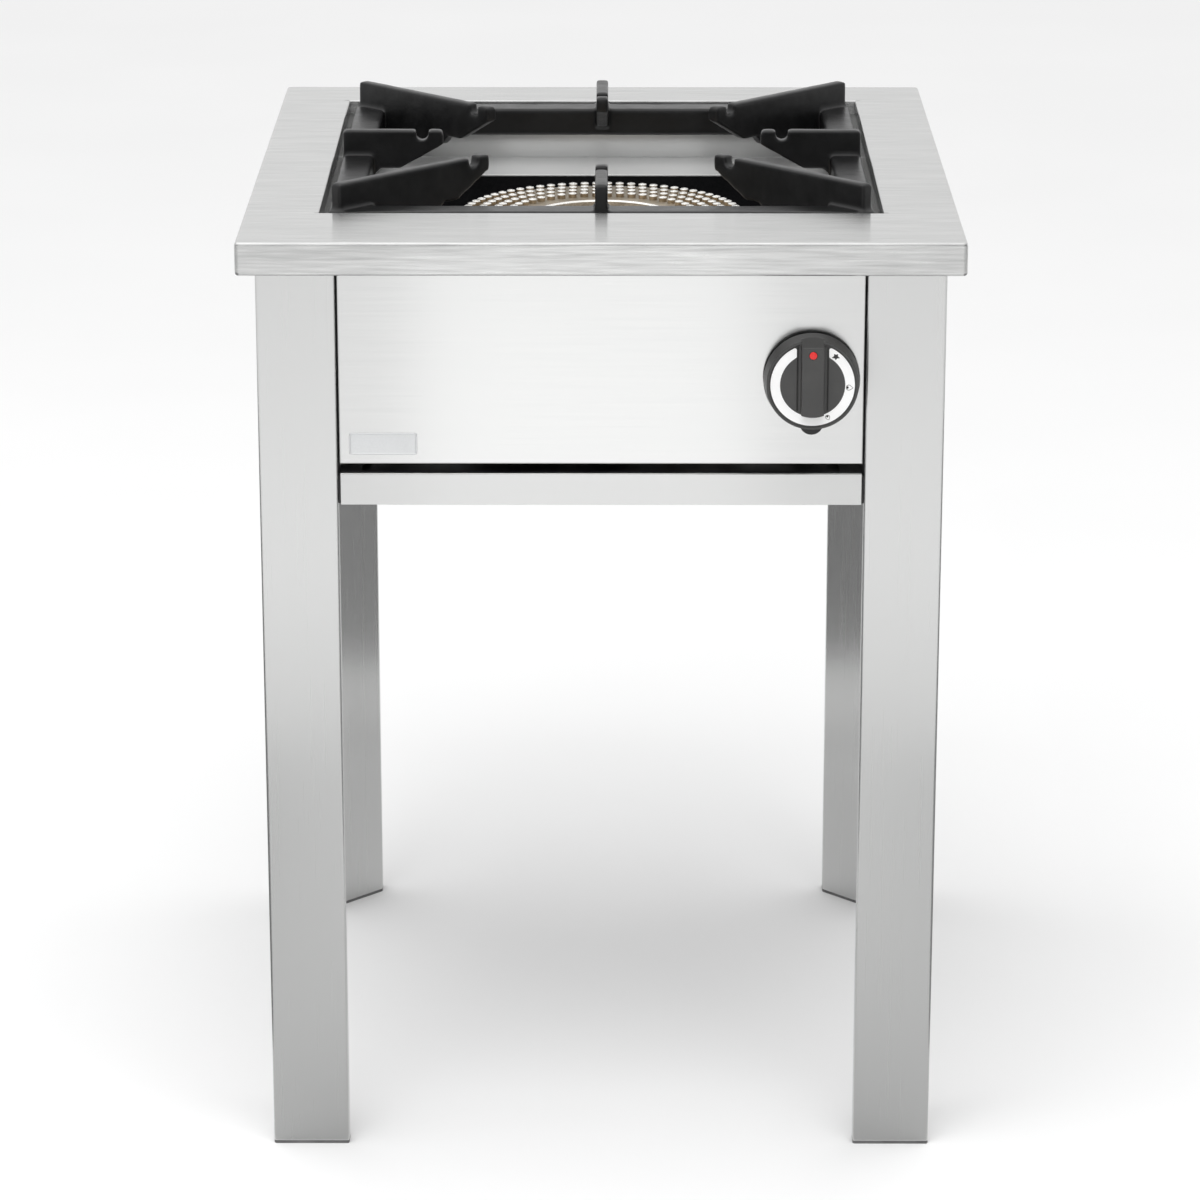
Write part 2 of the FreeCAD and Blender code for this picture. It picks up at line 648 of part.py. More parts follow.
def mixer(radius):
    """Horizontal tube from the jet, a round elbow, and a riser into the trough."""
    elbow = V(0, MIXER_ELBOW_Y, MIXER_Z)
    front = V(0, MIXER_FRONT, MIXER_Z)
    level = rod(radius, front, Y_AXIS, MIXER_ELBOW_Y - MIXER_FRONT)
    riser = rod(radius, elbow, Z_AXIS, BODY_FLOOR + BODY_WALL - MIXER_Z)
    return level.fuse([riser, Part.makeSphere(radius, elbow)])


def jet_lug(side):
    """Flat lug on the mixing tube that one arm of the jet bracket is screwed to."""
    reach = side * (JET_BRACKET_HALF_X - JET_BRACKET_SHEET)
    root = side * (MIXER_BORE + 2.0)
    return block(min(reach, root), max(reach, root), JET_BRACKET_END - JET_LUG_LENGTH, JET_BRACKET_END,
                 MIXER_Z - JET_LUG_HALF_Z, MIXER_Z + JET_LUG_HALF_Z)


def pilot_direction():
    """Unit vector from the burner's axis towards the pilot flame."""
    angle = math.radians(PILOT_ANGLE)
    return V(math.cos(angle), math.sin(angle), 0)


def pilot_point(side, z):
    """Axis of the pilot tube (side -1) or of the thermocouple (side 1) at a height."""
    outward = pilot_direction()
    across = V(-outward.y, outward.x, 0)
    middle = V(0, BURNER_Y, z) + outward * PILOT_RADIUS_FROM_BURNER
    return middle + across * (side * PILOT_SPACING / 2)


def turned_block(length_out, width, z0, z1, distance):
    """Box that points along the pilot direction, starting at a distance from the burner's axis."""
    shape = block(distance, distance + length_out, -width / 2, width / 2, z0, z1)
    shape.rotate(V(0, 0, 0), Z_AXIS, PILOT_ANGLE)
    shape.translate(V(0, BURNER_Y, 0))
    return shape


def pilot_lug():
    """Cast lug on the burner that carries the pilot bracket."""
    return turned_block(PILOT_LUG_LENGTH, PILOT_LUG_WIDTH, PILOT_LUG_BOTTOM, PILOT_LUG_TOP,
                        BURNER_RADIUS - 2.0)


def make_pilot_bracket():
    """Plate on the lug with a hole for the pilot and one for the thermocouple."""
    top = PILOT_LUG_TOP + PILOT_BRACKET_SHEET
    plate = turned_block(PILOT_PLATE_LENGTH, PILOT_PLATE_WIDTH, PILOT_LUG_TOP, top,
                         BURNER_RADIUS + 1.0)
    pilot_hole = rod(PILOT_BODY_RADIUS, pilot_point(-1, PILOT_LUG_TOP - 1.0), Z_AXIS, 4.0)
    probe_hole = rod(PROBE_RADIUS, pilot_point(1, PILOT_LUG_TOP - 1.0), Z_AXIS, 4.0)
    return plate.cut(pilot_hole).cut(probe_hole)


def make_pilot_burner():
    """Small tube burner with a hood that throws the flame at the thermocouple."""
    body = rod(PILOT_BODY_RADIUS, pilot_point(-1, PILOT_BODY_BOTTOM), Z_AXIS,
               PILOT_BODY_TOP - PILOT_BODY_BOTTOM)
    hood = rod(PILOT_BODY_RADIUS + PILOT_HOOD_WALL, pilot_point(-1, PILOT_HOOD_BOTTOM), Z_AXIS,
               PILOT_HOOD_TOP - PILOT_HOOD_BOTTOM)
    towards_probe = pilot_point(1, 0.0) - pilot_point(-1, 0.0)
    mouth = rod(PILOT_MOUTH_RADIUS, pilot_point(-1, PILOT_BODY_TOP), towards_probe, PILOT_SPACING)
    return fuse(body, hood).cut(mouth)


def make_thermocouple():
    """Rod that the pilot flame heats."""
    stem = rod(PROBE_RADIUS, pilot_point(1, PROBE_BOTTOM), Z_AXIS, PROBE_SHOULDER - PROBE_BOTTOM)
    tip = rod(PROBE_RADIUS - PROBE_TIP_STEP, pilot_point(1, PROBE_SHOULDER), Z_AXIS,
              PROBE_TOP - PROBE_SHOULDER)
    return fuse(stem, tip)


def make_burner_cap():
    """Loose cap: flat ring with four rings of pins round a shallow bowl."""
    centre = V(0, BURNER_Y, 0)
    slope = CAP_INNER_RADIUS - BOWL_FLOOR_RADIUS
    profile = [(0.0, BOWL_FLOOR), (BOWL_FLOOR_RADIUS - BOWL_THICKNESS, BOWL_FLOOR),
               (BOWL_FLOOR_RADIUS - BOWL_THICKNESS + slope, CAP_TOP),
               (CAP_RADIUS, CAP_TOP), (CAP_RADIUS, CAP_BOTTOM), (CAP_INNER_RADIUS, CAP_BOTTOM),
               (BOWL_FLOOR_RADIUS, BOWL_FLOOR - BOWL_THICKNESS), (0.0, BOWL_FLOOR - BOWL_THICKNESS)]
    shape = turned(profile, centre)
    pins = [rod(PIN_RADIUS, V(0, 0, CAP_TOP - 1.0) + pin_place(ring_radius, i, count), Z_AXIS,
                PIN_HEIGHT + 1.0)
            for ring_radius, count in PIN_RINGS for i in range(count)]
    return shape.fuse(pins)


def pin_place(ring_radius, index, count):
    """Place of one pin, with every ring's first gap centred on the -Y side."""
    angle = 2.0 * math.pi * (index + 0.5) / count - math.pi / 2
    return V(ring_radius * math.cos(angle), BURNER_Y + ring_radius * math.sin(angle), 0)


# ---------------------------------------------------------------- air shutter and jet
def make_air_shutter():
    """Sleeve that slides on the mixing tube to set the air gap."""
    bore = MIXER_RADIUS + SHUTTER_CLEARANCE
    start = V(0, SHUTTER_FRONT, MIXER_Z)
    sleeve = rod(bore + SHUTTER_WALL, start, Y_AXIS, SHUTTER_LENGTH)
    boss = rod(SHUTTER_BOSS_RADIUS, shutter_screw_foot(), Z_AXIS, SHUTTER_BOSS_HEIGHT)
    shape = fuse(sleeve, boss).cut(rod(bore, start, Y_AXIS, SHUTTER_LENGTH))
    inside_bore = shutter_screw_foot() - V(0, 0, SET_SCREW_RADIUS)
    hole_depth = SET_SCREW_RADIUS + SHUTTER_BOSS_HEIGHT
    return shape.cut(rod(SET_SCREW_RADIUS, inside_bore, Z_AXIS, hole_depth))


def shutter_screw_foot():
    """Inner end of the shutter's set screw, just clear of the mixing tube."""
    return V(0, SHUTTER_FRONT + SHUTTER_LENGTH - SHUTTER_BOSS_FROM_BACK,
             MIXER_Z + MIXER_RADIUS + SHUTTER_CLEARANCE)


def make_shutter_screw():
    """Set screw with a round head."""
    foot = shutter_screw_foot()
    head = rod(SET_SCREW_HEAD_RADIUS, foot + V(0, 0, SHUTTER_BOSS_HEIGHT), Z_AXIS,
               SET_SCREW_HEAD_HEIGHT)
    return fuse(rod(SET_SCREW_RADIUS, foot, Z_AXIS, SHUTTER_BOSS_HEIGHT), head)


def make_jet_bracket():
    """Bent strap that holds the jet in front of the mixing tube."""
    outer = block(-JET_BRACKET_HALF_X, JET_BRACKET_HALF_X, JET_BRACKET_Y, JET_BRACKET_END,
                  MIXER_Z - JET_BRACKET_HALF_Z, MIXER_Z + JET_BRACKET_HALF_Z)
    inner_x = JET_BRACKET_HALF_X - JET_BRACKET_SHEET
    inner = block(-inner_x, inner_x, JET_BRACKET_Y + JET_BRACKET_SHEET, JET_BRACKET_END,
                  MIXER_Z - JET_BRACKET_HALF_Z, MIXER_Z + JET_BRACKET_HALF_Z)
    shape = outer.cut(inner)
    for z0, z1 in ((MIXER_Z - JET_BRACKET_HALF_Z, MIXER_Z - JET_LUG_HALF_Z),
                   (MIXER_Z + JET_LUG_HALF_Z, MIXER_Z + JET_BRACKET_HALF_Z)):
        shape = shape.cut(block(-JET_BRACKET_HALF_X, JET_BRACKET_HALF_X, JET_BRACKET_ARM_START,
                                JET_BRACKET_END, z0, z1))
    return shape.cut(rod(JET_STEM_RADIUS, V(0, JET_BRACKET_Y, MIXER_Z), Y_AXIS, JET_BRACKET_SHEET))


def make_jet_holder():
    """Elbow block in line with the tap, with a stem through the bracket."""
    half = JET_BLOCK / 2
    body = block(-half, half, TAP_AXIS_Y - half, TAP_AXIS_Y + half, MIXER_Z - half, MIXER_Z + half)
    stem_start = V(0, TAP_AXIS_Y + half, MIXER_Z)
    stem = rod(JET_STEM_RADIUS, stem_start, Y_AXIS, JET_STEM_END - stem_start.y)
    return fuse(body, stem)


def make_burner_jet():
    """Nozzle on the end of the holder's stem."""
    start = V(0, JET_STEM_END, MIXER_Z)
    base = hexagon(JET_HEX, start, Y_AXIS, JET_HEX_LENGTH)
    nozzle = Part.makeCone(4.5, 3.0, JET_NOZZLE_LENGTH, start + V(0, JET_HEX_LENGTH, 0), Y_AXIS)
    bore = rod(JET_BORE_RADIUS, start, Y_AXIS, JET_HEX_LENGTH + JET_NOZZLE_LENGTH)
    return fuse(base, nozzle).cut(bore)


# ---------------------------------------------------------------- gas tap
def tap_axis(y):
    """Point on the tap's axis."""
    return V(TAP_X, y, TAP_Z)


def make_gas_tap():
    """Tap body with a nose through the panel, an inlet below and an outlet on the left."""
    body = block(TAP_X - TAP_HALF, TAP_X + TAP_HALF, TAP_FRONT, TAP_BACK,
                 TAP_Z - TAP_HALF, TAP_Z + TAP_HALF)
    body = rounded(body, TAP_EDGE_RADIUS, lambda edge: edge.BoundBox.YLength > 1.0)
    flange_length = TAP_FRONT - (-LEG_OUTER_Y + SHEET)
    flange = rod(TAP_FLANGE_RADIUS, tap_axis(TAP_FRONT), FRONT, flange_length)
    nose = rod(TAP_NOSE_RADIUS, tap_axis(TAP_FRONT), FRONT, TAP_FRONT - TAP_NOSE_FRONT)
    outlet = rod(TAP_OUTLET_RADIUS, V(TAP_X - TAP_HALF, TAP_AXIS_Y, TAP_Z), -X_AXIS, TAP_PORT_LENGTH)
    inlet = rod(TAP_INLET_RADIUS, V(TAP_X, TAP_AXIS_Y, TAP_Z - TAP_HALF), -Z_AXIS, TAP_PORT_LENGTH)
    pilot_port = rod(PILOT_PORT_RADIUS, pilot_port_mouth(), FRONT, PILOT_PORT_LENGTH)
    shape = fuse(body, flange, nose, outlet, inlet, pilot_port)
    spring_bore = rod(SPRING_BORE, tap_axis(TAP_NOSE_FRONT), Y_AXIS, SPRING_BORE_END - TAP_NOSE_FRONT)
    spindle_bore = rod(SPINDLE_RADIUS + SPINDLE_CLEARANCE, tap_axis(SPRING_BORE_END - 1.0), Y_AXIS,
                       SPINDLE_BORE_END - SPRING_BORE_END + 1.0)
    return shape.cut(spring_bore).cut(spindle_bore)


def pilot_port_mouth():
    """End of the small port that feeds the pilot flame."""
    return V(TAP_X - PILOT_PORT_LEFT, TAP_BACK + PILOT_PORT_LENGTH, TAP_Z - PILOT_PORT_DOWN)


def make_tap_magnet():
    """Flame-failure magnet unit screwed into the back of the tap."""
    case = rod(MAGNET_RADIUS, tap_axis(TAP_BACK), Y_AXIS, MAGNET_LENGTH)
    nut = hexagon(MAGNET_NUT_HEX, tap_axis(TAP_BACK + MAGNET_LENGTH), Y_AXIS, MAGNET_NUT_LENGTH)
    return fuse(case, nut)


def make_tap_lock_nut():
    """Flat nut that clamps the tap to the control panel."""
    nut = hexagon(TAP_NUT_HEX, tap_axis(-LEG_OUTER_Y), FRONT, TAP_NUT_THICKNESS)
    return nut.cut(rod(TAP_NOSE_RADIUS, tap_axis(-LEG_OUTER_Y), FRONT, TAP_NUT_THICKNESS))


def make_tap_spring():
    """Return spring between the bottom of the nose's bore and the thrust washer."""
    start = WASHER_FRONT + WASHER_THICKNESS + SPRING_WIRE / 2
    length = SPRING_BORE_END - SPRING_WIRE / 2 - start
    coil = Part.makeHelix(length / SPRING_TURNS, length, SPRING_MEAN_RADIUS)
    section = Part.Wire([Part.makeCircle(SPRING_WIRE / 2, V(SPRING_MEAN_RADIUS, 0, 0), Y_AXIS)])
    shape = Part.Wire(coil.Edges).makePipeShell([section], True, True)
    shape.Placement = FreeCAD.Placement(tap_axis(start), FreeCAD.Rotation(Z_AXIS, Y_AXIS))
    return shape


def make_thrust_washer():
    """Washer that the spindle pushes against the spring."""
    start = tap_axis(WASHER_FRONT)
    disc = rod(WASHER_RADIUS, start, Y_AXIS, WASHER_THICKNESS)
    return disc.cut(rod(SPINDLE_RADIUS + SPINDLE_CLEARANCE, start, Y_AXIS, WASHER_THICKNESS))


def make_spindle():
    """Round shaft with a collar in front of the washer and a flat for the knob."""
    shaft = rod(SPINDLE_RADIUS, tap_axis(SPINDLE_FRONT), Y_AXIS, SPINDLE_END - SPINDLE_FRONT)
    collar = rod(COLLAR_RADIUS, tap_axis(WASHER_FRONT - COLLAR_THICKNESS), Y_AXIS, COLLAR_THICKNESS)
    return fuse(shaft, collar).cut(spindle_flat())


def spindle_flat():
    """Slice taken off the front of the spindle, and left on inside the knob's hub."""
    low = TAP_Z + SPINDLE_RADIUS - SPINDLE_FLAT
    return block(TAP_X - 6.0, TAP_X + 6.0, SPINDLE_FRONT, KNOB_HUB_BACK, low, low + 4.0)


# ---------------------------------------------------------------- pipes
def make_inlet_pipe():
    """Steel pipe from under the tap to the rear inlet."""
    start = V(TAP_X, TAP_AXIS_Y, TAP_Z - TAP_HALF - TAP_PORT_LENGTH)
    corner = V(TAP_X, TAP_AXIS_Y, INLET_Z)
    end = V(TAP_X, LEG_OUTER_Y - SHEET - NIPPLE_COLLAR, INLET_Z)
    return pipe([start, corner, end], INLET_PIPE_RADIUS, INLET_BEND_RADIUS)


def make_inlet_nipple():
    """Threaded gas inlet: a hexagon inside the rear panel and a free threaded end behind it."""
    inner_face = LEG_OUTER_Y - SHEET
    start = V(TAP_X, inner_face - NIPPLE_COLLAR, INLET_Z)
    collar = hexagon(NIPPLE_HEX, start, Y_AXIS, NIPPLE_COLLAR)
    thread = rod(NIPPLE_RADIUS, V(TAP_X, inner_face, INLET_Z), Y_AXIS, OVERALL_HALF_DEPTH - inner_face)
    bore = rod(NIPPLE_BORE, start, Y_AXIS, OVERALL_HALF_DEPTH - start.y)
    groove_start = V(TAP_X, LEG_OUTER_Y + LOCK_NUT_THICKNESS, INLET_Z)
    groove_width = OVERALL_HALF_DEPTH - NIPPLE_FREE_LENGTH - groove_start.y
    groove = rod(NIPPLE_RADIUS + 1.0, groove_start, Y_AXIS, groove_width)
    groove = groove.cut(rod(NIPPLE_GROOVE_RADIUS, groove_start, Y_AXIS, groove_width))
    return fuse(collar, thread).cut(bore).cut(groove)


def make_inlet_lock_nut():
    """Nut on the inlet, against the outside of the rear panel."""
    start = V(TAP_X, LEG_OUTER_Y, INLET_Z)
    nut = hexagon(LOCK_NUT_HEX, start, Y_AXIS, LOCK_NUT_THICKNESS)
    return nut.cut(rod(NIPPLE_RADIUS, start, Y_AXIS, LOCK_NUT_THICKNESS))


def make_inlet_pipe_nut():
    """Union nut where the inlet pipe meets the tap."""
    start = V(TAP_X, TAP_AXIS_Y, TAP_Z - TAP_HALF - TAP_PORT_LENGTH)
    nut = hexagon(INLET_NUT_HEX, start, -Z_AXIS, PIPE_NUT_LENGTH)
    return nut.cut(rod(INLET_PIPE_RADIUS, start, -Z_AXIS, PIPE_NUT_LENGTH))


def make_burner_pipe():
    """Short straight pipe from the tap's outlet to the jet holder."""
    start = V(TAP_X - TAP_HALF - TAP_PORT_LENGTH, TAP_AXIS_Y, TAP_Z)
    return rod(BURNER_PIPE_RADIUS, start, -X_AXIS, start.x - JET_BLOCK / 2)


def make_burner_pipe_nut(start_x, direction):
    """Union nut at one end of the burner pipe."""
    start = V(start_x, TAP_AXIS_Y, TAP_Z)
    nut = hexagon(PIPE_NUT_HEX, start, direction, PIPE_NUT_LENGTH)
    return nut.cut(rod(BURNER_PIPE_RADIUS, start, direction, PIPE_NUT_LENGTH))


def make_pilot_tube():
    """Thin tube from the tap's pilot port to the pilot burner."""
    start = pilot_port_mouth()
    foot = pilot_point(-1, PILOT_BODY_BOTTOM)
    route = [start, V(start.x, PILOT_TUBE_TURN_Y, start.z), V(foot.x, BOX_ENTRY_Y, start.z),
             V(foot.x, foot.y, start.z), foot]
    return pipe(route, PILOT_TUBE_RADIUS, PILOT_TUBE_BEND)


def make_thermocouple_lead():
    """Capillary lead from the magnet unit to the thermocouple."""
    start = tap_axis(TAP_BACK + MAGNET_LENGTH + MAGNET_NUT_LENGTH)
    foot = pilot_point(1, PROBE_BOTTOM)
    route = [start, V(start.x, LEAD_TURN_Y, start.z),
             V(foot.x + LEAD_ENTRY_SHIFT, BOX_ENTRY_Y, start.z), V(foot.x, foot.y, start.z), foot]
    return pipe(route, LEAD_RADIUS, LEAD_BEND)


def make_pipe_clip(y):
    """Clip that hangs the inlet pipe from the burner box."""
    start = V(TAP_X, y, INLET_Z)
    wall = HOLE_HALF_X + 0.5 + BOX_SHEET
    loop = rod(INLET_PIPE_RADIUS + CLIP_SHEET, start, Y_AXIS, CLIP_WIDTH)
    tab = block(wall, wall + CLIP_SHEET, y, y + CLIP_WIDTH, INLET_Z, BOX_BOTTOM + CLIP_TAB_OVERLAP)
    return fuse(loop, tab).cut(rod(INLET_PIPE_RADIUS, start, Y_AXIS, CLIP_WIDTH))


# ---------------------------------------------------------------- pan support
def finger(tip, end):
    """Upright blade with a pot notch near its tip, along +X, with its mid-plane on Y = 0."""
    low = FINGER_UNDERSIDE
    tip_low = FINGER_TOP - FINGER_TIP_HEIGHT
    outline = [V(tip, 0, tip_low), V(tip, 0, FINGER_TOP), V(end, 0, FINGER_TOP),
               V(end, 0, RING_BOTTOM + 4.0), V(RING_HALF - RING_BAR + 2.0, 0, RING_BOTTOM + 4.0),
               V(RING_HALF - RING_BAR - 6.0, 0, low), V(FINGER_HEEL, 0, low)]
    blade = prism(outline, V(0, FINGER_THICKNESS, 0))
    blade.translate(V(0, -FINGER_THICKNESS / 2, 0))
    blade = rounded(blade, FINGER_CORNER_RADIUS, lambda edge: is_blade_top_corner(edge, tip, end))
    middle = tip + NOTCH_FROM_TIP
    notch_floor = FINGER_TOP - NOTCH_DEPTH + NOTCH_RADIUS
    cutter = rod(NOTCH_RADIUS, V(middle, -FINGER_THICKNESS, notch_floor), Y_AXIS, 2 * FINGER_THICKNESS)
    mouth = block(middle - NOTCH_RADIUS, middle + NOTCH_RADIUS, -FINGER_THICKNESS, FINGER_THICKNESS,
                  notch_floor, FINGER_TOP + 1.0)
    return blade.cut(cutter.fuse(mouth))


def is_blade_top_corner(edge, tip, end):
    """True for the two upper corners of a blade, seen from its side."""
    box = edge.BoundBox
    across = box.YLength > FINGER_THICKNESS - 1e-6 and abs(box.ZMin - FINGER_TOP) < 1e-6
    return across and (abs(box.XMin - tip) < 1e-6 or abs(box.XMin - end) < 1e-6)


def make_pan_support():
    """Cast ring with four feet and eight fingers that point at the burner's axis."""
    ring = centred_block(RING_HALF, RING_HALF, RING_BOTTOM, RING_TOP)
    ring = rounded(ring, RING_CORNER_RADIUS, is_vertical)
    inner_half = RING_HALF - RING_BAR
    gap = centred_block(inner_half, inner_half, RING_BOTTOM, RING_TOP)
    gap = rounded(gap, RING_INNER_RADIUS, is_vertical)
    ring = ring.cut(gap)
    ring = rounded(ring, CAST_EDGE, lambda edge: at_height(RING_TOP)(edge) or at_height(RING_BOTTOM)(edge))
    pieces = []
    foot_at = RING_HALF - SUPPORT_FOOT_INSET
    for quarter in range(4):
        turn = 90.0 * quarter
        pieces.append(spun(finger(FINGER_TIP, FINGER_SIDE_END), turn))
        pieces.append(spun(finger(FINGER_TIP + 1.0, FINGER_CORNER_END), turn + 45.0))
        foot = Part.makeCone(SUPPORT_FOOT_RADIUS - 2.0, SUPPORT_FOOT_RADIUS, RING_BOTTOM - LEDGE_TOP + 4.0,
                             V(foot_at, foot_at, LEDGE_TOP), Z_AXIS)
        pieces.append(spun(foot, turn))
    shape = fuse(ring, *pieces)
    shape.translate(V(0, BURNER_Y, 0))
    return shape


def spun(shape, degrees):
    """Copy turned about the vertical axis through the origin."""
    copy = shape.copy()
    copy.rotate(V(0, 0, 0), Z_AXIS, degrees)
    return copy


# ---------------------------------------------------------------- knob
def knob_point(y, dx=0.0, dz=0.0):
    """Point in the knob's own axes: depth, right and up."""
    return V(TAP_X + dx, y, TAP_Z + dz)


def make_knob():
    """Hollow round knob with a raised grip bar, a hub and a small lug at the bottom."""
    depth = KNOB_BACK - KNOB_RIM
    skirt = Part.makeCone(KNOB_BACK_RADIUS, KNOB_RIM_RADIUS, depth, knob_point(KNOB_BACK), FRONT)
    skirt = skirt.fuse(rod(KNOB_LUG_RADIUS, knob_point(KNOB_BACK, dz=-KNOB_LUG_OFFSET), FRONT,
                           KNOB_BACK - KNOB_LUG_FRONT))
    hollow_depth = KNOB_BACK - KNOB_HOLLOW_END
    hollow = Part.makeCone(KNOB_BACK_RADIUS - KNOB_WALL, KNOB_RIM_RADIUS - KNOB_WALL, hollow_depth,
                           knob_point(KNOB_BACK), FRONT)
    face = rod(KNOB_FACE_RADIUS, knob_point(KNOB_FACE), FRONT, KNOB_FACE - KNOB_RIM)
    hub = rod(KNOB_HUB_RADIUS, knob_point(KNOB_HUB_BACK), FRONT, KNOB_HUB_BACK - KNOB_HOLLOW_END)
    shape = fuse(skirt.cut(hollow).cut(face), hub, grip_bar()).cut(above_grip_slope())
    for side in (-1, 1):
        shape = shape.cut(grip_groove(side))
    bore = rod(SPINDLE_RADIUS, knob_point(KNOB_HUB_BACK), FRONT, KNOB_HUB_BACK - SPINDLE_FRONT)
    return shape.cut(bore.cut(spindle_flat()))


def grip_slope(y):
    """Height of the grip's sloping upper end above the knob's axis, at a depth."""
    steepness = (GRIP_SLOPE_TOP - GRIP_TOP) / (GRIP_SLOPE_END - GRIP_FRONT)
    return GRIP_TOP + (y - GRIP_FRONT) * steepness


def above_grip_slope():
    """Wedge over the grip's sloping end, where the rim is cut away."""
    return prism([knob_point(GRIP_FRONT, -GRIP_HALF_WIDTH, GRIP_TOP),
                  knob_point(GRIP_SLOPE_END, -GRIP_HALF_WIDTH, GRIP_SLOPE_TOP),
                  knob_point(GRIP_FRONT, -GRIP_HALF_WIDTH, GRIP_SLOPE_TOP + 2.0)],
                 V(2 * GRIP_HALF_WIDTH, 0, 0))


def grip_groove(side):
    """Shallow groove in the knob's face along one side of the grip."""
    near = TAP_X + side * GRIP_HALF_WIDTH
    far = TAP_X + side * (GRIP_HALF_WIDTH + GRIP_GROOVE_WIDTH)
    return block(min(near, far), max(near, far), KNOB_FACE - 1.0, KNOB_FACE + GRIP_GROOVE_DEPTH,
                 TAP_Z + GRIP_GROOVE_LOW, TAP_Z + GRIP_GROOVE_HIGH)


def grip_bar():
    """Raised bar: flat front, sloping upper end, lower end round like the dial's inner edge."""
    root = KNOB_HOLLOW_END + 1.0
    side = [knob_point(root, -GRIP_HALF_WIDTH, grip_slope(root)),
            knob_point(GRIP_FRONT, -GRIP_HALF_WIDTH, GRIP_TOP),
            knob_point(GRIP_FRONT, -GRIP_HALF_WIDTH, -GRIP_BOTTOM_RADIUS - 2.0),
            knob_point(KNOB_FACE + 2.0, -GRIP_HALF_WIDTH, -GRIP_BOTTOM_RADIUS - 2.0),
            knob_point(KNOB_FACE + 2.0, -GRIP_HALF_WIDTH, 0.0),
            knob_point(root, -GRIP_HALF_WIDTH, 20.0)]
    bar = prism(side, V(2 * GRIP_HALF_WIDTH, 0, 0))
    upper = block(TAP_X - 20.0, TAP_X + 20.0, GRIP_FRONT - 5.0, KNOB_BACK, TAP_Z, TAP_Z + 40.0)
    lower = rod(GRIP_BOTTOM_RADIUS, knob_point(KNOB_BACK), FRONT, KNOB_BACK - GRIP_FRONT + 5.0)
    bar = bar.common(upper.fuse(lower))
    return rounded(bar, GRIP_EDGE_RADIUS, lambda edge: abs(edge.BoundBox.YMax - GRIP_FRONT) < 1e-6)


def make_knob_dial():
    """Printed white band round the grip, open at the top."""
    start = knob_point(KNOB_FACE)
    band = rod(DIAL_OUTER_RADIUS, start, FRONT, DIAL_THICKNESS)
    band = band.cut(rod(DIAL_INNER_RADIUS, start, FRONT, DIAL_THICKNESS))
    gap = block(TAP_X - DIAL_GAP_HALF_WIDTH, TAP_X + DIAL_GAP_HALF_WIDTH, KNOB_FACE - DIAL_THICKNESS,
                KNOB_FACE, TAP_Z, TAP_Z + DIAL_OUTER_RADIUS + 1.0)
    band = band.cut(gap)
    return rounded(band, DIAL_END_RADIUS, is_dial_end_corner)


def is_dial_end_corner(edge):
    """True for the short edges at the corners of the dial's two ends."""
    straight = edge.Curve.TypeId == "Part::GeomLine"
    return straight and edge.BoundBox.YLength > DIAL_THICKNESS - 1e-6 and edge.BoundBox.XLength < 1e-6 \
        and edge.BoundBox.ZMin > TAP_Z


def make_knob_marker():
    """Round dot at the upper end of the grip bar."""
    return rod(MARKER_RADIUS, knob_point(GRIP_FRONT, dz=MARKER_OFFSET), FRONT,
               OVERALL_HALF_DEPTH + GRIP_FRONT)


# ---------------------------------------------------------------- all pieces
def main():
    """Make every piece and write it."""
    os.makedirs("parts", exist_ok=True)
    save("top_plate", make_worktop())
    for end, side_y in (("front", -1), ("rear", 1)):
        for side, side_x in (("left", -1), ("right", 1)):
            save(f"leg_{end}_{side}", make_leg(side_x, side_y))
            save(f"foot_{end}_{side}", make_foot(side_x, side_y))
            save(f"leg_head_{end}_{side}", make_leg_head(side_x, side_y))
    save("control_panel", make_control_panel())
    save("rear_panel", make_rear_panel())
    for side, sign in (("left", -1), ("right", 1)):
        save(f"side_panel_{side}", make_side_panel(sign))
        save(f"tray_runner_{side}", make_tray_runner(sign))
    save("badge_plate", make_badge())
    save("drip_tray", make_drip_tray())
    save("burner_well", make_burner_well())
    save("burner_box", make_burner_box())
    save("burner_bar_front", make_burner_bar(BAR_FRONT_Y))
    save("burner_bar_rear", make_burner_bar(BAR_REAR_Y))
    save("burner_body", make_burner_body())
    save("burner_cap", make_burner_cap())
    save("pan_support", make_pan_support())
    save("air_shutter", make_air_shutter())
    save("shutter_screw", make_shutter_screw())
    save("jet_bracket", make_jet_bracket())
    save("jet_holder", make_jet_holder())
    save("burner_jet", make_burner_jet())
    save("gas_tap", make_gas_tap())
    save("tap_magnet", make_tap_magnet())
    save("tap_lock_nut", make_tap_lock_nut())
    save("tap_spring", make_tap_spring())
    save("thrust_washer", make_thrust_washer())
    save("spindle", make_spindle())
    save("inlet_pipe", make_inlet_pipe())
    save("inlet_pipe_nut", make_inlet_pipe_nut())
    save("inlet_nipple", make_inlet_nipple())
    save("inlet_lock_nut", make_inlet_lock_nut())
    save("burner_pipe", make_burner_pipe())
    save("burner_pipe_nut_tap", make_burner_pipe_nut(TAP_X - TAP_HALF - TAP_PORT_LENGTH, -X_AXIS))
    save("burner_pipe_nut_jet", make_burner_pipe_nut(JET_BLOCK / 2, X_AXIS))
    save("pilot_bracket", make_pilot_bracket())
    save("pilot_burner", make_pilot_burner())
    save("pilot_tube", make_pilot_tube())
    save("thermocouple", make_thermocouple())
    save("thermocouple_lead", make_thermocouple_lead())
    for end, y in CLIP_POSITIONS:
        save(f"pipe_clip_{end}", make_pipe_clip(y))
    save("knob", make_knob())
    save("knob_dial", make_knob_dial())
    save("knob_marker", make_knob_marker())


main()
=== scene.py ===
"""Looks of the gas stool cooker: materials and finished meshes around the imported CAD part.

Metres, in the part's own frame: +Z up, the knob faces -Y. Places come from the CAD nodes' boxes.
"""

import json
import math

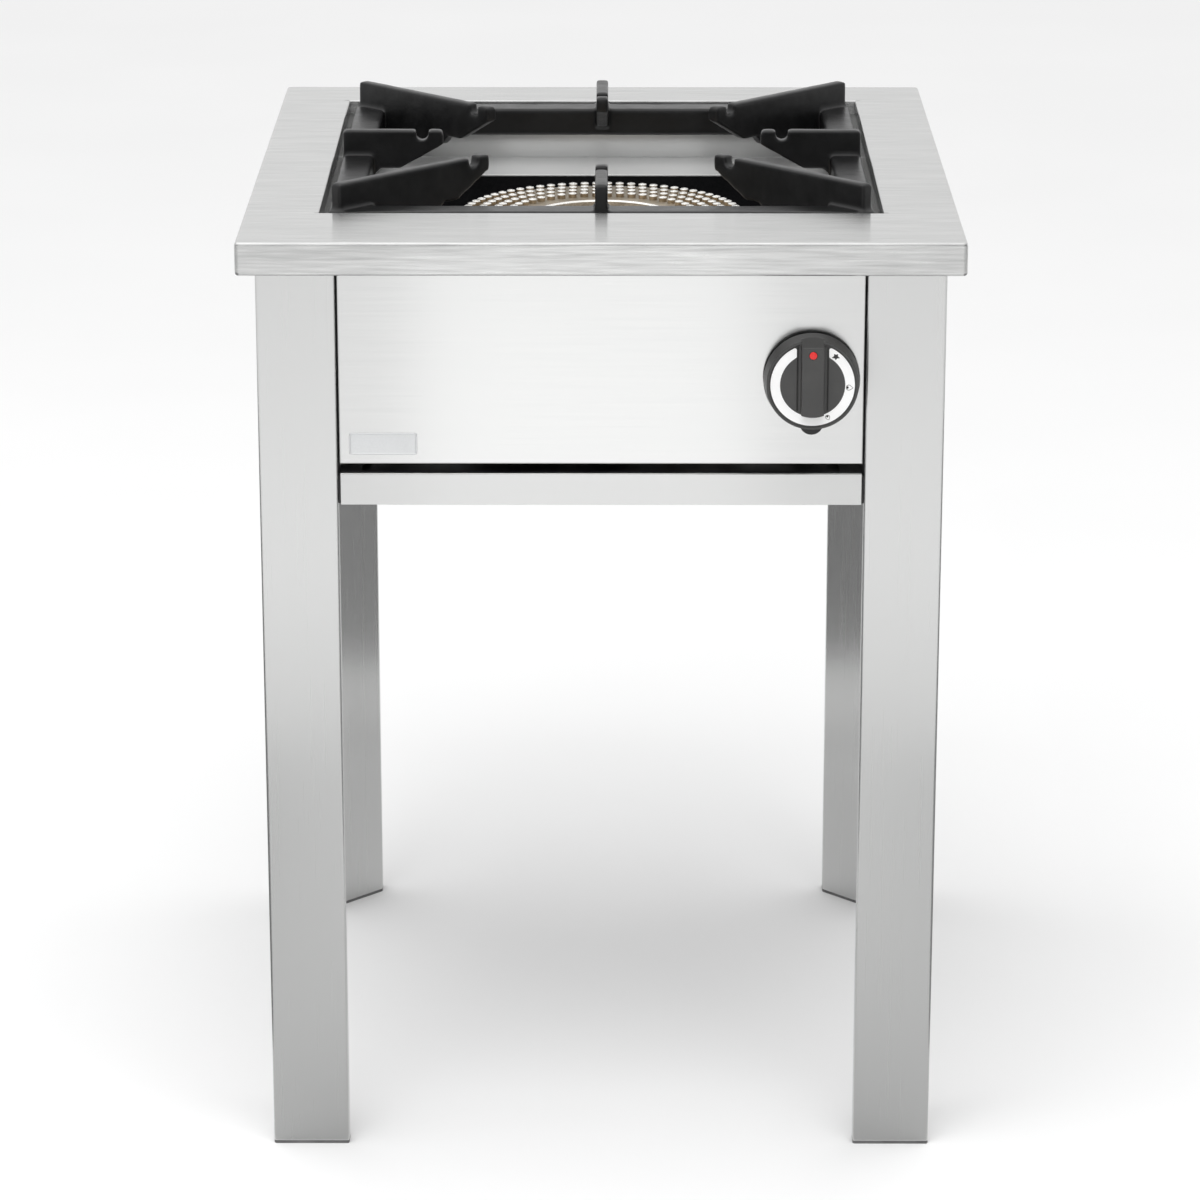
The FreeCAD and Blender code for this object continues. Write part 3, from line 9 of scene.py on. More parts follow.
import bmesh
import bpy
from mathutils import Euler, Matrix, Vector, noise


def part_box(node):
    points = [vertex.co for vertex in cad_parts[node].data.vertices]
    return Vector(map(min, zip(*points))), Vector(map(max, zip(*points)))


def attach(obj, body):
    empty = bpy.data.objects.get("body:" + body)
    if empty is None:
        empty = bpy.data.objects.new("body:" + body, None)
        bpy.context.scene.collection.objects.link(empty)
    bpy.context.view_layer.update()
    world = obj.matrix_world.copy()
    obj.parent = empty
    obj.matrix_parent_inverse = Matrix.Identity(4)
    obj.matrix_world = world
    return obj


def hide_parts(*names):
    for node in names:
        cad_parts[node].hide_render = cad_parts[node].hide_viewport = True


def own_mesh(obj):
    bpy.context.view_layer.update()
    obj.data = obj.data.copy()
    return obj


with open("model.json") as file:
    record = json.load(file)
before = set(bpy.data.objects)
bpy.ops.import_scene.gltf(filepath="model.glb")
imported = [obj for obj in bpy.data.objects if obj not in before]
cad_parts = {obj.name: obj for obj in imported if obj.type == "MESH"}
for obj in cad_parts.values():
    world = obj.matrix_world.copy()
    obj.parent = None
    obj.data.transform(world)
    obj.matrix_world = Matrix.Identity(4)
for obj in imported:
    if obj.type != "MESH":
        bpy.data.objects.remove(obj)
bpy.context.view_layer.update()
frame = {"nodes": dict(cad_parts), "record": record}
NODES = frame["nodes"]
MM = 0.001


# ---------------------------------------------------------------- node helpers
# the range that holds nearly all values of a noise
NOISE_LOW = 0.3
NOISE_HIGH = 0.7


class Recipe:
    """A node material under construction: one Principled shader and short calls for the rest."""

    def __init__(self, name):
        self.material = bpy.data.materials.new(name)
        self.material.use_nodes = True
        self.tree = self.material.node_tree
        self.shader = self.tree.nodes["Principled BSDF"]
        self.coords = self.node("ShaderNodeTexCoord").outputs["Object"]

    def node(self, kind, **settings):
        """New node of a kind, with its settings."""
        made = self.tree.nodes.new(kind)
        for key, value in settings.items():
            setattr(made, key, value)
        return made

    def put(self, source, socket):
        """A number, a colour or another node's output into a socket."""
        if isinstance(source, (int, float)):
            socket.default_value = source
        elif isinstance(source, tuple):
            socket.default_value = (*source, 1.0)
        else:
            self.tree.links.new(source, socket)

    def feed(self, **sources):
        """Numbers or node outputs into the shader's own sockets."""
        for key, source in sources.items():
            self.put(source, self.shader.inputs[key.replace("_", " ")])

    def geometry(self, output):
        """What the surface says of itself at a point, such as its normal."""
        return self.node("ShaderNodeNewGeometry").outputs[output]

    def component(self, vector, letter):
        """The X, Y or Z of a vector."""
        made = self.node("ShaderNodeSeparateXYZ")
        self.put(vector, made.inputs["Vector"])
        return made.outputs[letter]

    def vector(self, **components):
        """Vector from any of X, Y and Z; the others stay 0."""
        made = self.node("ShaderNodeCombineXYZ")
        for letter, source in components.items():
            self.put(source, made.inputs[letter])
        return made.outputs["Vector"]

    def stretched(self, *scales):
        """Object coordinates with a scale along X, Y and Z."""
        mapping = self.node("ShaderNodeMapping")
        mapping.inputs["Scale"].default_value = scales
        self.put(self.coords, mapping.inputs["Vector"])
        return mapping.outputs["Vector"]

    def noise(self, scale=1.0, detail=3.0, rough=0.55, vector=None):
        """Noise over a vector, or over the object's own coordinates."""
        made = self.node("ShaderNodeTexNoise")
        self.put(scale, made.inputs["Scale"])
        self.put(detail, made.inputs["Detail"])
        self.put(rough, made.inputs["Roughness"])
        self.put(self.coords if vector is None else vector, made.inputs["Vector"])
        return made.outputs["Fac"]

    def remap(self, value, low, high, to_low, to_high):
        """A range of values moved to another range."""
        made = self.node("ShaderNodeMapRange")
        for name, number in (("From Min", low), ("From Max", high), ("To Min", to_low), ("To Max", to_high)):
            made.inputs[name].default_value = number
        self.put(value, made.inputs["Value"])
        return made.outputs["Result"]

    def spread(self, value, to_low, to_high):
        """The usual range of a noise moved to another range."""
        return self.remap(value, NOISE_LOW, NOISE_HIGH, to_low, to_high)

    def ramp(self, value, *stops):
        """Colours at places between 0 and 1."""
        made = self.node("ShaderNodeValToRGB")
        elements = made.color_ramp.elements
        while len(elements) < len(stops):
            elements.new(0.5)
        for element, (place, colour) in zip(elements, stops):
            element.position = place
            element.color = (*colour, 1.0)
        self.put(value, made.inputs["Fac"])
        return made.outputs["Color"]

    def shades(self, value, dark, light):
        """Two colours over the usual range of a noise."""
        return self.ramp(value, (NOISE_LOW, dark), (NOISE_HIGH, light))

    def mix(self, factor, first, second, kind="FLOAT"):
        """Blend of two numbers, or of two colours with kind RGBA."""
        made = self.node("ShaderNodeMix", data_type=kind)
        sockets = {socket.identifier: socket for socket in made.inputs}
        tail = {"FLOAT": "Float", "RGBA": "Color"}[kind]
        for source, name in ((factor, "Factor_Float"), (first, f"A_{tail}"), (second, f"B_{tail}")):
            self.put(source, sockets[name])
        return next(socket for socket in made.outputs if socket.identifier == f"Result_{tail}")

    def math(self, operation, *values):
        """Result of a sum on numbers or node outputs."""
        made = self.node("ShaderNodeMath", operation=operation)
        for socket, value in zip(made.inputs, values):
            self.put(value, socket)
        return made.outputs["Value"]

    def bump(self, height, strength, distance, under=None):
        """Normal from a height, on top of the normal under it."""
        made = self.node("ShaderNodeBump")
        made.inputs["Strength"].default_value = strength
        made.inputs["Distance"].default_value = distance
        self.put(height, made.inputs["Height"])
        if under is not None:
            self.put(under, made.inputs["Normal"])
        return made.outputs["Normal"]


# ---------------------------------------------------------------- ground steel
# how much of a normal lies along X or Z on a face that looks sideways or starts to look up
SIDEWAYS = 0.7
UPWARDS = 0.5
BROAD_SHARE = 0.35
STEEL_GREY = 0.66
LINE_HEIGHT = 0.1 * MM
FULL_SMEAR = 0.95


def faces_sideways(r):
    """Mask of the faces that look along X."""
    return r.math("GREATER_THAN", r.math("ABSOLUTE", r.component(r.geometry("Normal"), "X")), SIDEWAYS)


def streaks(r, *scales):
    """Thin streaks from a noise that is stretched by its scales, in streaks per metre."""
    return r.noise(detail=2.0, vector=r.stretched(*scales))


def grinding_lines(r, sideways, length_scale, fine_scale):
    """Long streaks along X, or along Y on faces that look sideways; a share of them is broader."""
    fine, broad = [r.mix(sideways, streaks(r, along, across, across), streaks(r, across, along, across))
                   for along, across in ((length_scale, fine_scale), (length_scale / 2, fine_scale / 4))]
    return r.mix(BROAD_SHARE, fine, broad)


def calmed(r, lines, up_share):
    """Lines that keep only a share of their contrast on faces that look up."""
    share = r.remap(r.component(r.geometry("Normal"), "Z"), UPWARDS, 1.0, 1.0, up_share)
    return r.math("ADD", 0.5, r.math("MULTIPLY", r.math("SUBTRACT", lines, 0.5), share))


def steel_colour(r, lines, low, high):
    """Grey of stainless steel between two tones, a trace warmer where it is light."""
    return r.shades(lines, (low, low * 1.005, low), (high, high * 1.003, high * 0.995))


def stretch_reflections(r, grain, amount):
    """Reflections smeared across the grain, as on ground sheet."""
    across = r.node("ShaderNodeVectorMath", operation="CROSS_PRODUCT")
    r.put(r.geometry("Normal"), across.inputs[0])
    r.put(grain, across.inputs[1])
    r.feed(Tangent=across.outputs["Vector"], Anisotropic=amount)


def brushed_steel(name, tone, rough, contrast, relief, length_scale=9.0, fine_scale=1000.0,
                  smear=FULL_SMEAR, metallic=1.0, up_share=1.0):
    """Stainless sheet with long fine grinding lines along X, or along Y on faces that look sideways."""
    r = Recipe(name)
    sideways = faces_sideways(r)
    lines = calmed(r, grinding_lines(r, sideways, length_scale, fine_scale), up_share)
    r.feed(Base_Color=steel_colour(r, lines, (STEEL_GREY - contrast) * tone, (STEEL_GREY + contrast) * tone),
           Roughness=r.spread(lines, rough - 0.02, rough + 0.03),
           Normal=r.bump(lines, relief, LINE_HEIGHT), Metallic=metallic)
    stretch_reflections(r, r.vector(X=r.math("SUBTRACT", 1.0, sideways), Y=sideways), smear)
    return r.material


def upright_steel(name, low, high, rough):
    """Stainless leg section: almost smooth, with very fine lines up and down."""
    r = Recipe(name)
    lines = r.mix(BROAD_SHARE, streaks(r, 1500, 1500, 5), streaks(r, 300, 300, 2))
    r.feed(Base_Color=steel_colour(r, lines, low, high),
           Roughness=r.spread(lines, rough - 0.015, rough + 0.02),
           Normal=r.bump(lines, 0.03, LINE_HEIGHT), Metallic=1.0)
    stretch_reflections(r, r.vector(Z=1.0), FULL_SMEAR)
    return r.material


def tray_steel_and_painted_shade(name, front_y):
    """Steel on the front plate; the pan behind it is black as painted shade, for the shade inside the stand.
    """
    r = Recipe(name)
    behind = r.math("GREATER_THAN", r.component(r.coords, "Y"), front_y)
    lines = grinding_lines(r, faces_sideways(r), length_scale=12.0, fine_scale=650.0)
    steel = steel_colour(r, lines, low=0.635, high=0.715)
    wave = r.noise(40.0, detail=2.0)
    # Black of the pan: painted shade inside the stand.
    black = r.shades(wave, (0.010, 0.010, 0.011), (0.020, 0.020, 0.021))
    r.feed(Base_Color=r.mix(behind, steel, black, kind="RGBA"),
           Metallic=r.math("SUBTRACT", 1.0, behind),
           Roughness=r.mix(behind, r.spread(lines, 0.22, 0.27), r.spread(wave, 0.30, 0.42)),
           Normal=r.bump(lines, 0.04, LINE_HEIGHT))
    stretch_reflections(r, r.vector(X=1.0), FULL_SMEAR)
    return r.material


# ---------------------------------------------------------------- other materials
def cast_iron(name):
    """Black enamelled casting: fine orange-peel grain, a little lighter and rougher on sharp edges."""
    r = Recipe(name)
    grain = r.noise(1100.0, rough=0.6)
    mottle = r.noise(60.0)
    sharp_edges = r.remap(r.geometry("Pointiness"), 0.52, 0.60, 0.0, 1.0)
    black = r.shades(mottle, (0.005, 0.005, 0.0053), (0.010, 0.010, 0.0105))
    r.feed(Base_Color=r.mix(r.math("MULTIPLY", sharp_edges, 0.5), black, (0.045, 0.045, 0.047), kind="RGBA"),
           Roughness=r.math("ADD", r.spread(mottle, 0.30, 0.38), r.math("MULTIPLY", sharp_edges, 0.04)),
           Normal=r.bump(grain, 0.35, 0.3 * MM, under=r.bump(mottle, 0.2, 1.2 * MM)),
           Metallic=0.0, Specular_IOR_Level=0.42)
    return r.material


def enamel(name):
    """Black enamel on sheet steel, with faint waves."""
    r = Recipe(name)
    wave = r.noise(45.0, detail=2.0)
    speck = r.noise(700.0, detail=2.0)
    r.feed(Base_Color=r.ramp(speck, (0.35, (0.007, 0.007, 0.008)), (0.75, (0.014, 0.014, 0.015))),
           Roughness=r.spread(wave, 0.30, 0.42),
           Normal=r.bump(wave, 0.25, 1.5 * MM, under=r.bump(speck, 0.1, 0.2 * MM)),
           Specular_IOR_Level=0.2)
    return r.material


def cast_alloy(name):
    """Sand-cast burner alloy: brown, grainy, with lighter grains that catch the light."""
    r = Recipe(name)
    sand = r.noise(950.0, detail=4.0, rough=0.7)
    blend = r.mix(0.3, sand, r.noise(90.0))
    colour = r.ramp(blend, (0.30, (0.10, 0.075, 0.05)), (0.50, (0.24, 0.195, 0.14)),
                    (0.72, (0.50, 0.44, 0.36)))
    r.feed(Base_Color=colour, Roughness=r.remap(sand, 0.2, 0.8, 0.42, 0.60),
           Normal=r.bump(sand, 0.45, 0.6 * MM), Metallic=0.35, Specular_IOR_Level=0.3)
    return r.material


def metal(name, dark, light, rough, grain=600.0, bump=0.15, metallic=1.0):
    """Plain metal with speckled colour, uneven gloss and a fine skin."""
    r = Recipe(name)
    speck = r.noise(grain)
    blend = r.mix(0.5, speck, r.noise(grain / 14.0))
    r.feed(Base_Color=r.ramp(blend, (0.32, dark), (0.68, light)),
           Roughness=r.spread(blend, rough - 0.07, rough + 0.09),
           Normal=r.bump(speck, bump, 0.25 * MM), Metallic=metallic)
    return r.material


def plastic(name, dark, light, rough, grain=900.0, bump=0.2):
    """Moulded plastic with a spark-eroded grain."""
    r = Recipe(name)
    skin = r.noise(grain, detail=2.0)
    haze = r.noise(grain / 20.0, detail=2.0)
    r.feed(Base_Color=r.shades(haze, dark, light),
           Roughness=r.spread(r.mix(0.4, skin, haze), rough - 0.06, rough + 0.06),
           Normal=r.bump(skin, bump, 0.12 * MM), Specular_IOR_Level=0.55)
    return r.material


# ---------------------------------------------------------------- finishes of the object
TRAY_PLATE = 1.6 * MM
STEEL = brushed_steel("stainless", tone=1.0, rough=0.17, contrast=0.032, relief=0.06, length_scale=10.0,
                      fine_scale=700.0, smear=0.70)
WORKTOP_STEEL = brushed_steel("stainless_worktop", tone=0.96, rough=0.25, contrast=0.16, relief=0.20,
                              length_scale=20.0, fine_scale=500.0, up_share=0.35)
# Lighter, half-metallic copy of the stainless for the burner well: painted light on its ledge, where light
# falls from above.
WELL_STEEL_PAINTED_LIGHT = brushed_steel("stainless_well_painted_light", tone=1.25, rough=0.13, contrast=0.015, relief=0.04, smear=0.6,
                           metallic=0.5)
UPRIGHT_STEEL = upright_steel("stainless_upright", low=0.5895, high=0.603, rough=0.26)
TRAY_STEEL_AND_PAINTED_SHADE = tray_steel_and_painted_shade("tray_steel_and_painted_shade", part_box("drip_tray")[0].y + TRAY_PLATE)
RUNNER_STEEL = metal("runner_steel", (0.05, 0.05, 0.05), (0.10, 0.10, 0.10), 0.45)
TURNED_ALLOY = metal("turned_alloy", (0.88, 0.86, 0.82), (0.96, 0.95, 0.92), 0.24, 500.0, 0.08, 0.55)
PLATE_ALLOY = metal("plate_alloy", (0.36, 0.31, 0.24), (0.56, 0.50, 0.41), 0.34, 700.0, 0.25, 0.6)
PIN_ALLOY = metal("pin_alloy", (0.26, 0.20, 0.13), (0.52, 0.42, 0.30), 0.32, 420.0, 0.2, 0.8)
# Black ink for the printed signs, also used as painted shade on the knob's lug and in the panel seams.
INK_AND_PAINTED_SHADE = plastic("ink_black_and_painted_shade", (0.010, 0.010, 0.010), (0.020, 0.020, 0.020), 0.5, 1500.0, 0.02)
FINISHES = {
    "stainless": STEEL,
    "cast_iron_black": cast_iron("cast_iron_black"),
    "enamel_black": enamel("enamel_black"),
    "burner_alloy": cast_alloy("burner_alloy"),
    "burner_casting": metal("burner_casting", (0.10, 0.09, 0.08), (0.20, 0.18, 0.16), 0.55, 500.0, 0.4, 0.7),
    "tap_brass": metal("tap_brass", (0.62, 0.47, 0.22), (0.80, 0.64, 0.36), 0.30),
    "copper": metal("copper", (0.70, 0.36, 0.22), (0.86, 0.50, 0.34), 0.27),
    "steel_plated": metal("steel_plated", (0.52, 0.52, 0.50), (0.70, 0.69, 0.66), 0.28),
    "aluminised": metal("aluminised", (0.44, 0.45, 0.46), (0.60, 0.61, 0.62), 0.40, 250.0),
    "magnet_case": metal("magnet_case", (0.30, 0.30, 0.31), (0.44, 0.44, 0.45), 0.36),
    "knob_plastic": plastic("knob_plastic", (0.040, 0.0395, 0.039), (0.052, 0.0515, 0.050), 0.38),
    "dial_white": plastic("dial_white", (0.93, 0.93, 0.925), (0.965, 0.965, 0.96), 0.38, 1200.0, 0.05),
    "marker_red": plastic("marker_red", (0.70, 0.012, 0.012), (0.80, 0.018, 0.016), 0.34, 1200.0, 0.05),
    "foot_plastic": plastic("foot_plastic", (0.10, 0.10, 0.10), (0.16, 0.16, 0.16), 0.5),
    "badge_metal": metal("badge_metal", (0.64, 0.65, 0.655), (0.72, 0.73, 0.735), 0.34, 900.0, 0.08),
}
OWN_FINISH = {
    "top_plate": WORKTOP_STEEL,
    "burner_well": WELL_STEEL_PAINTED_LIGHT,
    "drip_tray": TRAY_STEEL_AND_PAINTED_SHADE,
    "tray_runner_left": RUNNER_STEEL,
    "tray_runner_right": RUNNER_STEEL,
}
SLOT_OF = {row["node"]: row["material_slot"] for row in frame["record"]["subparts"]}
BODY_OF = {node: body for body, members in frame["record"]["behaviour"]["bodies"].items() for node in members}


def paint_cad_nodes():
    """Each CAD node gets its own finish, or else the one of its material slot."""
    for name, node in NODES.items():
        finish = OWN_FINISH.get(name, FINISHES[SLOT_OF[name]])
        if name.startswith("leg_") and finish == STEEL:
            finish = UPRIGHT_STEEL
        node.data.materials.clear()
        node.data.materials.append(finish)


# ---------------------------------------------------------------- mesh helpers
def new_piece(name, mesh, body, slot, finishes=(), smooth=True):
    """Object from a mesh without finishes, which rides on a body; faces number its finishes."""
    piece = bpy.data.objects.new(name, mesh)
    bpy.context.scene.collection.objects.link(piece)
    for finish in finishes or (FINISHES[slot],):
        mesh.materials.append(finish)
    if smooth:
        mesh.shade_smooth()
    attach(piece, body)
    return piece


def to_mesh(name, build):
    """Finished mesh from a bmesh, with its faces turned outwards."""
    mesh = bpy.data.meshes.new(name)
    bmesh.ops.recalc_face_normals(build, faces=build.faces)
    build.to_mesh(mesh)
    build.free()
    return mesh


def turn(count):
    """Angles of a full turn in equal steps."""
    return [2.0 * math.pi * i / count for i in range(count)]


def bridge(build, ring, after, finish=0):
    """Faces between two closed rings of points; one point alone is a tip."""
    count = max(len(ring), len(after))
    for i in range(count):
        j = (i + 1) % count
        corners = (ring[i % len(ring)], ring[j % len(ring)], after[j % len(after)], after[i % len(after)])
        face = build.faces.new(list(dict.fromkeys(corners)))
        face.material_index = finish


def skin(build, rings, finish=0):
    """Faces between each ring and the next."""
    for ring, after in zip(rings, rings[1:]):
        bridge(build, ring, after, finish)


def skin_and_caps(build, rings):
    """Closed body from rings: its skin and both ends."""
    skin(build, rings)
    build.faces.new(rings[0])
    build.faces.new(rings[-1])


def upright_ring(build, centre, y, radii):
    """Ring of points about a front-to-rear axis, with a radius for each equal step of the turn."""
    return [build.verts.new((centre.x + radius * math.cos(a), y, centre.z + radius * math.sin(a)))
            for a, radius in zip(turn(len(radii)), radii)]


# ---------------------------------------------------------------- folded sheet
WELD = 0.01 * MM
FLAT_ANGLE = math.radians(0.5)
FOLD_ANGLE = math.radians(35)
FOLD_STEPS = 2
# edge radii in millimetres
FOLD_RADII = {
    "burner_well": 0.5, "drip_tray": 0.35, "tray_runner_left": 0.3, "tray_runner_right": 0.3,
    "burner_bar_front": 0.4, "burner_bar_rear": 0.4, "burner_box": 0.3, "side_panel_left": 0.5,
    "side_panel_right": 0.5, "jet_bracket": 0.4, "pilot_bracket": 0.3,
}


def add_weld(piece):
    """Join points that lie on each other."""
    weld = piece.modifiers.new("weld", "WELD")
    weld.merge_threshold = WELD


def soften_sheets():
    """Bent and sheared sheet parts get the small edge radius that real ones have."""
    for name, radius in FOLD_RADII.items():
        piece = NODES[name]
        add_weld(piece)
        flat = piece.modifiers.new("flat", "DECIMATE")
        flat.decimate_type = "DISSOLVE"
        flat.angle_limit = FLAT_ANGLE
        bevel = piece.modifiers.new("edge", "BEVEL")
        bevel.width = radius * MM
        bevel.segments = FOLD_STEPS
        bevel.limit_method = "ANGLE"
        bevel.angle_limit = FOLD_ANGLE
        bevel.harden_normals = True


# ---------------------------------------------------------------- cast and moulded pieces
CAST_VOXEL = 1.5 * MM
CAST_ROUNDS = 6
CAST_GRAIN = 0.18 * MM
LUMPS_PER_METRE = 55.0
SMALL_LUMPS_PER_METRE = 170.0
MOULD_VOXEL = 0.5 * MM
MOULD_ROUNDS = 4
SPINDLE_LOW, SPINDLE_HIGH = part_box("spindle")
KNOB_AXIS = Vector(((SPINDLE_LOW.x + SPINDLE_HIGH.x) / 2, 0.0, (SPINDLE_LOW.z + SPINDLE_HIGH.z) / 2))


def baked(piece):
    """Mesh that the piece's modifiers make of it."""
    graph = bpy.context.evaluated_depsgraph_get()
    return bpy.data.meshes.new_from_object(piece.evaluated_get(graph))


def melted(node, name, voxel, rounds):
    """Copy of a CAD node with soft edges and filled corners, as a mould leaves them."""
    shape = NODES[node].data.copy()
    shape.materials.clear()
    piece = new_piece(name, shape, BODY_OF[node], SLOT_OF[node])
    add_weld(piece)
    remesh = piece.modifiers.new("remesh", "REMESH")
    remesh.mode = "VOXEL"
    remesh.voxel_size = voxel
    relax = piece.modifiers.new("relax", "SMOOTH")
    relax.factor = 0.5
    relax.iterations = rounds
    piece.data = baked(piece)
    piece.modifiers.clear()
    piece.data.shade_smooth()
    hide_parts(node)
    return piece


def roughen(mesh, depth):
    """Sink each point by a smooth random share of a depth, as in a sand casting."""
    moved = []
    for vertex in mesh.vertices:
        place, normal = vertex.co, vertex.normal
        lump = noise.noise(place * LUMPS_PER_METRE) + 0.5 * noise.noise(place * SMALL_LUMPS_PER_METRE)
        moved.extend(place - normal * (depth * max(0.0, 0.6 + lump)))
    mesh.vertices.foreach_set("co", moved)
    mesh.update()


def make_pan_support():
    """The casting, with a hand-cast surface."""
    piece = melted("pan_support", "pan_support_casting", CAST_VOXEL, CAST_ROUNDS)
    roughen(piece.data, CAST_GRAIN)
    piece.data.shade_smooth()


def make_knob():
    """The moulded knob, with its lug under the skirt coloured black as painted shade."""
    piece = melted("knob", "knob_moulding", MOULD_VOXEL, MOULD_ROUNDS)
    # Faces of the lug beyond the skirt take the black ink as painted shade; the lug is the knob's own
    # plastic.
    piece.data.materials.append(INK_AND_PAINTED_SHADE)
    skirt_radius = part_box("knob")[1].z - KNOB_AXIS.z
    for face in piece.data.polygons:
        offset = face.center - KNOB_AXIS
        if math.hypot(offset.x, offset.z) > skirt_radius:
            face.material_index = 1


# ---------------------------------------------------------------- burner cap, in millimetres
# radius of each ring of pins, and its count
PIN_RINGS = ((112.5, 72), (100.5, 64), (88.5, 56), (76.5, 48))
PIN_HEIGHT = 4.0
PIN_SEGMENTS = 14
CAP_RADIUS = 119.0
CAP_WALL = 4.0
CAP_SEGMENTS = 160
BEAD_RADIUS = 60.0
SAND, BRIGHT, PLATE, PIN = range(4)


def lathe(build, parts, centre, segments):
    """Surface of revolution about a vertical axis, from parts of (finish, (radius, height) points)."""
    rings, finishes = [], []
    for finish, points in parts:
        for radius, height in points:
            angles = turn(segments) if radius else [0.0]
            rings.append([build.verts.new((centre.x + radius * MM * math.cos(a),
                                           centre.y + radius * MM * math.sin(a),
                                           centre.z + height * MM)) for a in angles])
            finishes.append(finish)
    for ring, after, finish in zip(rings, rings[1:], finishes):
        bridge(build, ring, after, finish)


def cap_outline(top, floor):
    """The cap from its axis to its rim and back: bowl, bead at the bowl's edge, plate and underside."""
    bowl = [(0.0, floor + 0.6), (18.0, floor + 0.4), (40.0, floor), (49.0, floor + 0.6), (52.5, floor + 3.0),
            (BEAD_RADIUS - 3.6, top - 2.6)]
    bead = [(BEAD_RADIUS - 1.8, top - 0.4), (BEAD_RADIUS - 1.3, top + 0.4), (BEAD_RADIUS - 0.6, top + 0.8),
            (BEAD_RADIUS + 0.4, top + 0.7)]
    plate = [(BEAD_RADIUS + 1.1, top + 0.1), (BEAD_RADIUS + 1.8, top - 0.05), (90.0, top - 0.05),
             (CAP_RADIUS - 1.4, top - 0.05), (CAP_RADIUS - 0.4, top - 0.35)]
    under = top - CAP_WALL
    underside = [(CAP_RADIUS, top - 1.0), (CAP_RADIUS, under + 0.6), (CAP_RADIUS - 0.6, under),
                 (BEAD_RADIUS + 1.0, under), (BEAD_RADIUS - 6.0, floor - CAP_WALL), (0.0, floor - CAP_WALL)]
    return (SAND, bowl), (BRIGHT, bead), (PLATE, plate), (SAND, underside)


def pin_outline():
    """A pin from its foot to the dimple in its head."""
    shaft = [(3.6, -0.4), (3.35, 0.25), (3.3, 2.75)]
    head = [(3.55, 2.95), (3.55, 3.35), (3.25, 3.8), (2.6, PIN_HEIGHT), (1.5, 3.96), (0.8, 3.7), (0.0, 3.6)]
    return (PIN, shaft), (BRIGHT, head)


def make_burner_cap():
    """Turned ring of pins round a rough cast bowl, with a bright bead at the bowl's edge."""
    low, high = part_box("burner_cap")
    axis = Vector(((low.x + high.x) / 2, (low.y + high.y) / 2, 0.0))
    top = high.z / MM - PIN_HEIGHT
    build = bmesh.new()
    lathe(build, cap_outline(top, low.z / MM + CAP_WALL), axis, CAP_SEGMENTS)
    for ring_radius, count in PIN_RINGS:
        for i in range(count):
            angle = 2.0 * math.pi * (i + 0.5) / count - math.pi / 2
            foot = axis + Vector((ring_radius * math.cos(angle), ring_radius * math.sin(angle), top)) * MM
            lathe(build, pin_outline(), foot, PIN_SEGMENTS)
    piece = new_piece("burner_cap_turned", to_mesh("burner_cap_turned", build), "burner_cap",
                      "burner_alloy", (FINISHES["burner_alloy"], TURNED_ALLOY, PLATE_ALLOY, PIN_ALLOY))
    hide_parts("burner_cap")


# ---------------------------------------------------------------- dial signs
INK_THICKNESS = 0.12 * MM
SYMBOL_RADIUS = 28.0 * MM
SPARK_CLOCK = 38.0
SPARK_OUTER = 3.3 * MM
SPARK_INNER = 1.5 * MM
# clock angle in degrees, length, half width and radius of the dot inside
LARGE_FLAME = (94.0, 5.4 * MM, 2.2 * MM, 0.95 * MM)
SMALL_FLAME = (155.0, 4.2 * MM, 1.8 * MM, 0.85 * MM)
FLAME_LINE_ENDS = 0.7 * MM
FLAME_LINE_SIDE = 0.33 * MM
DOT_RISE = 0.02 * MM


def knob_ring(build, points, y):
    """Points (across, up) about the knob's axis, in a plane that faces the front."""
    return [build.verts.new((KNOB_AXIS.x + across, y, KNOB_AXIS.z + up)) for across, up in points]


def knob_plate(build, outline, y_back, y_front, hole=()):
    """Flat plate on the dial; its outline and its hole have equal counts of points."""
    front, back = knob_ring(build, outline, y_front), knob_ring(build, outline, y_back)
    if not hole:
        skin_and_caps(build, [front, back])
        return
    hole_front, hole_back = knob_ring(build, hole, y_front), knob_ring(build, hole, y_back)
    skin(build, [front, hole_front, hole_back, back, front])


def placed(points, clock_degrees):
    """Symbol points (outward, sideways) moved to a clock angle on the dial, as (across, up)."""
    a = math.radians(clock_degrees)
    outward = Vector((math.sin(a), math.cos(a)))
    sideways = Vector((math.cos(a), -math.sin(a)))
    return [outward * (SYMBOL_RADIUS + out) + sideways * side for out, side in points]


def teardrop(length, half_width, count=28):
    """Flame outline: round at its foot, pointed at its outer end."""
    return [(-length / 2 * math.cos(t), 1.25 * half_width * math.sin(t) * (0.5 + 0.5 * math.cos(t)) ** 0.45)
            for t in turn(count)]


def disc(radius, centre_out, count=16):
    """Round dot in symbol coordinates."""
    return [(centre_out + radius * math.cos(t), radius * math.sin(t)) for t in turn(count)]


def spark(outer, inner, points=5):
    """Star outline in symbol coordinates, with every second point shorter."""
    radii = [inner if i % 2 else outer * (1.0 if i % 4 else 0.8) for i in range(2 * points)]
    return [(radius * math.cos(t), radius * math.sin(t)) for t, radius in zip(turn(2 * points), radii)]


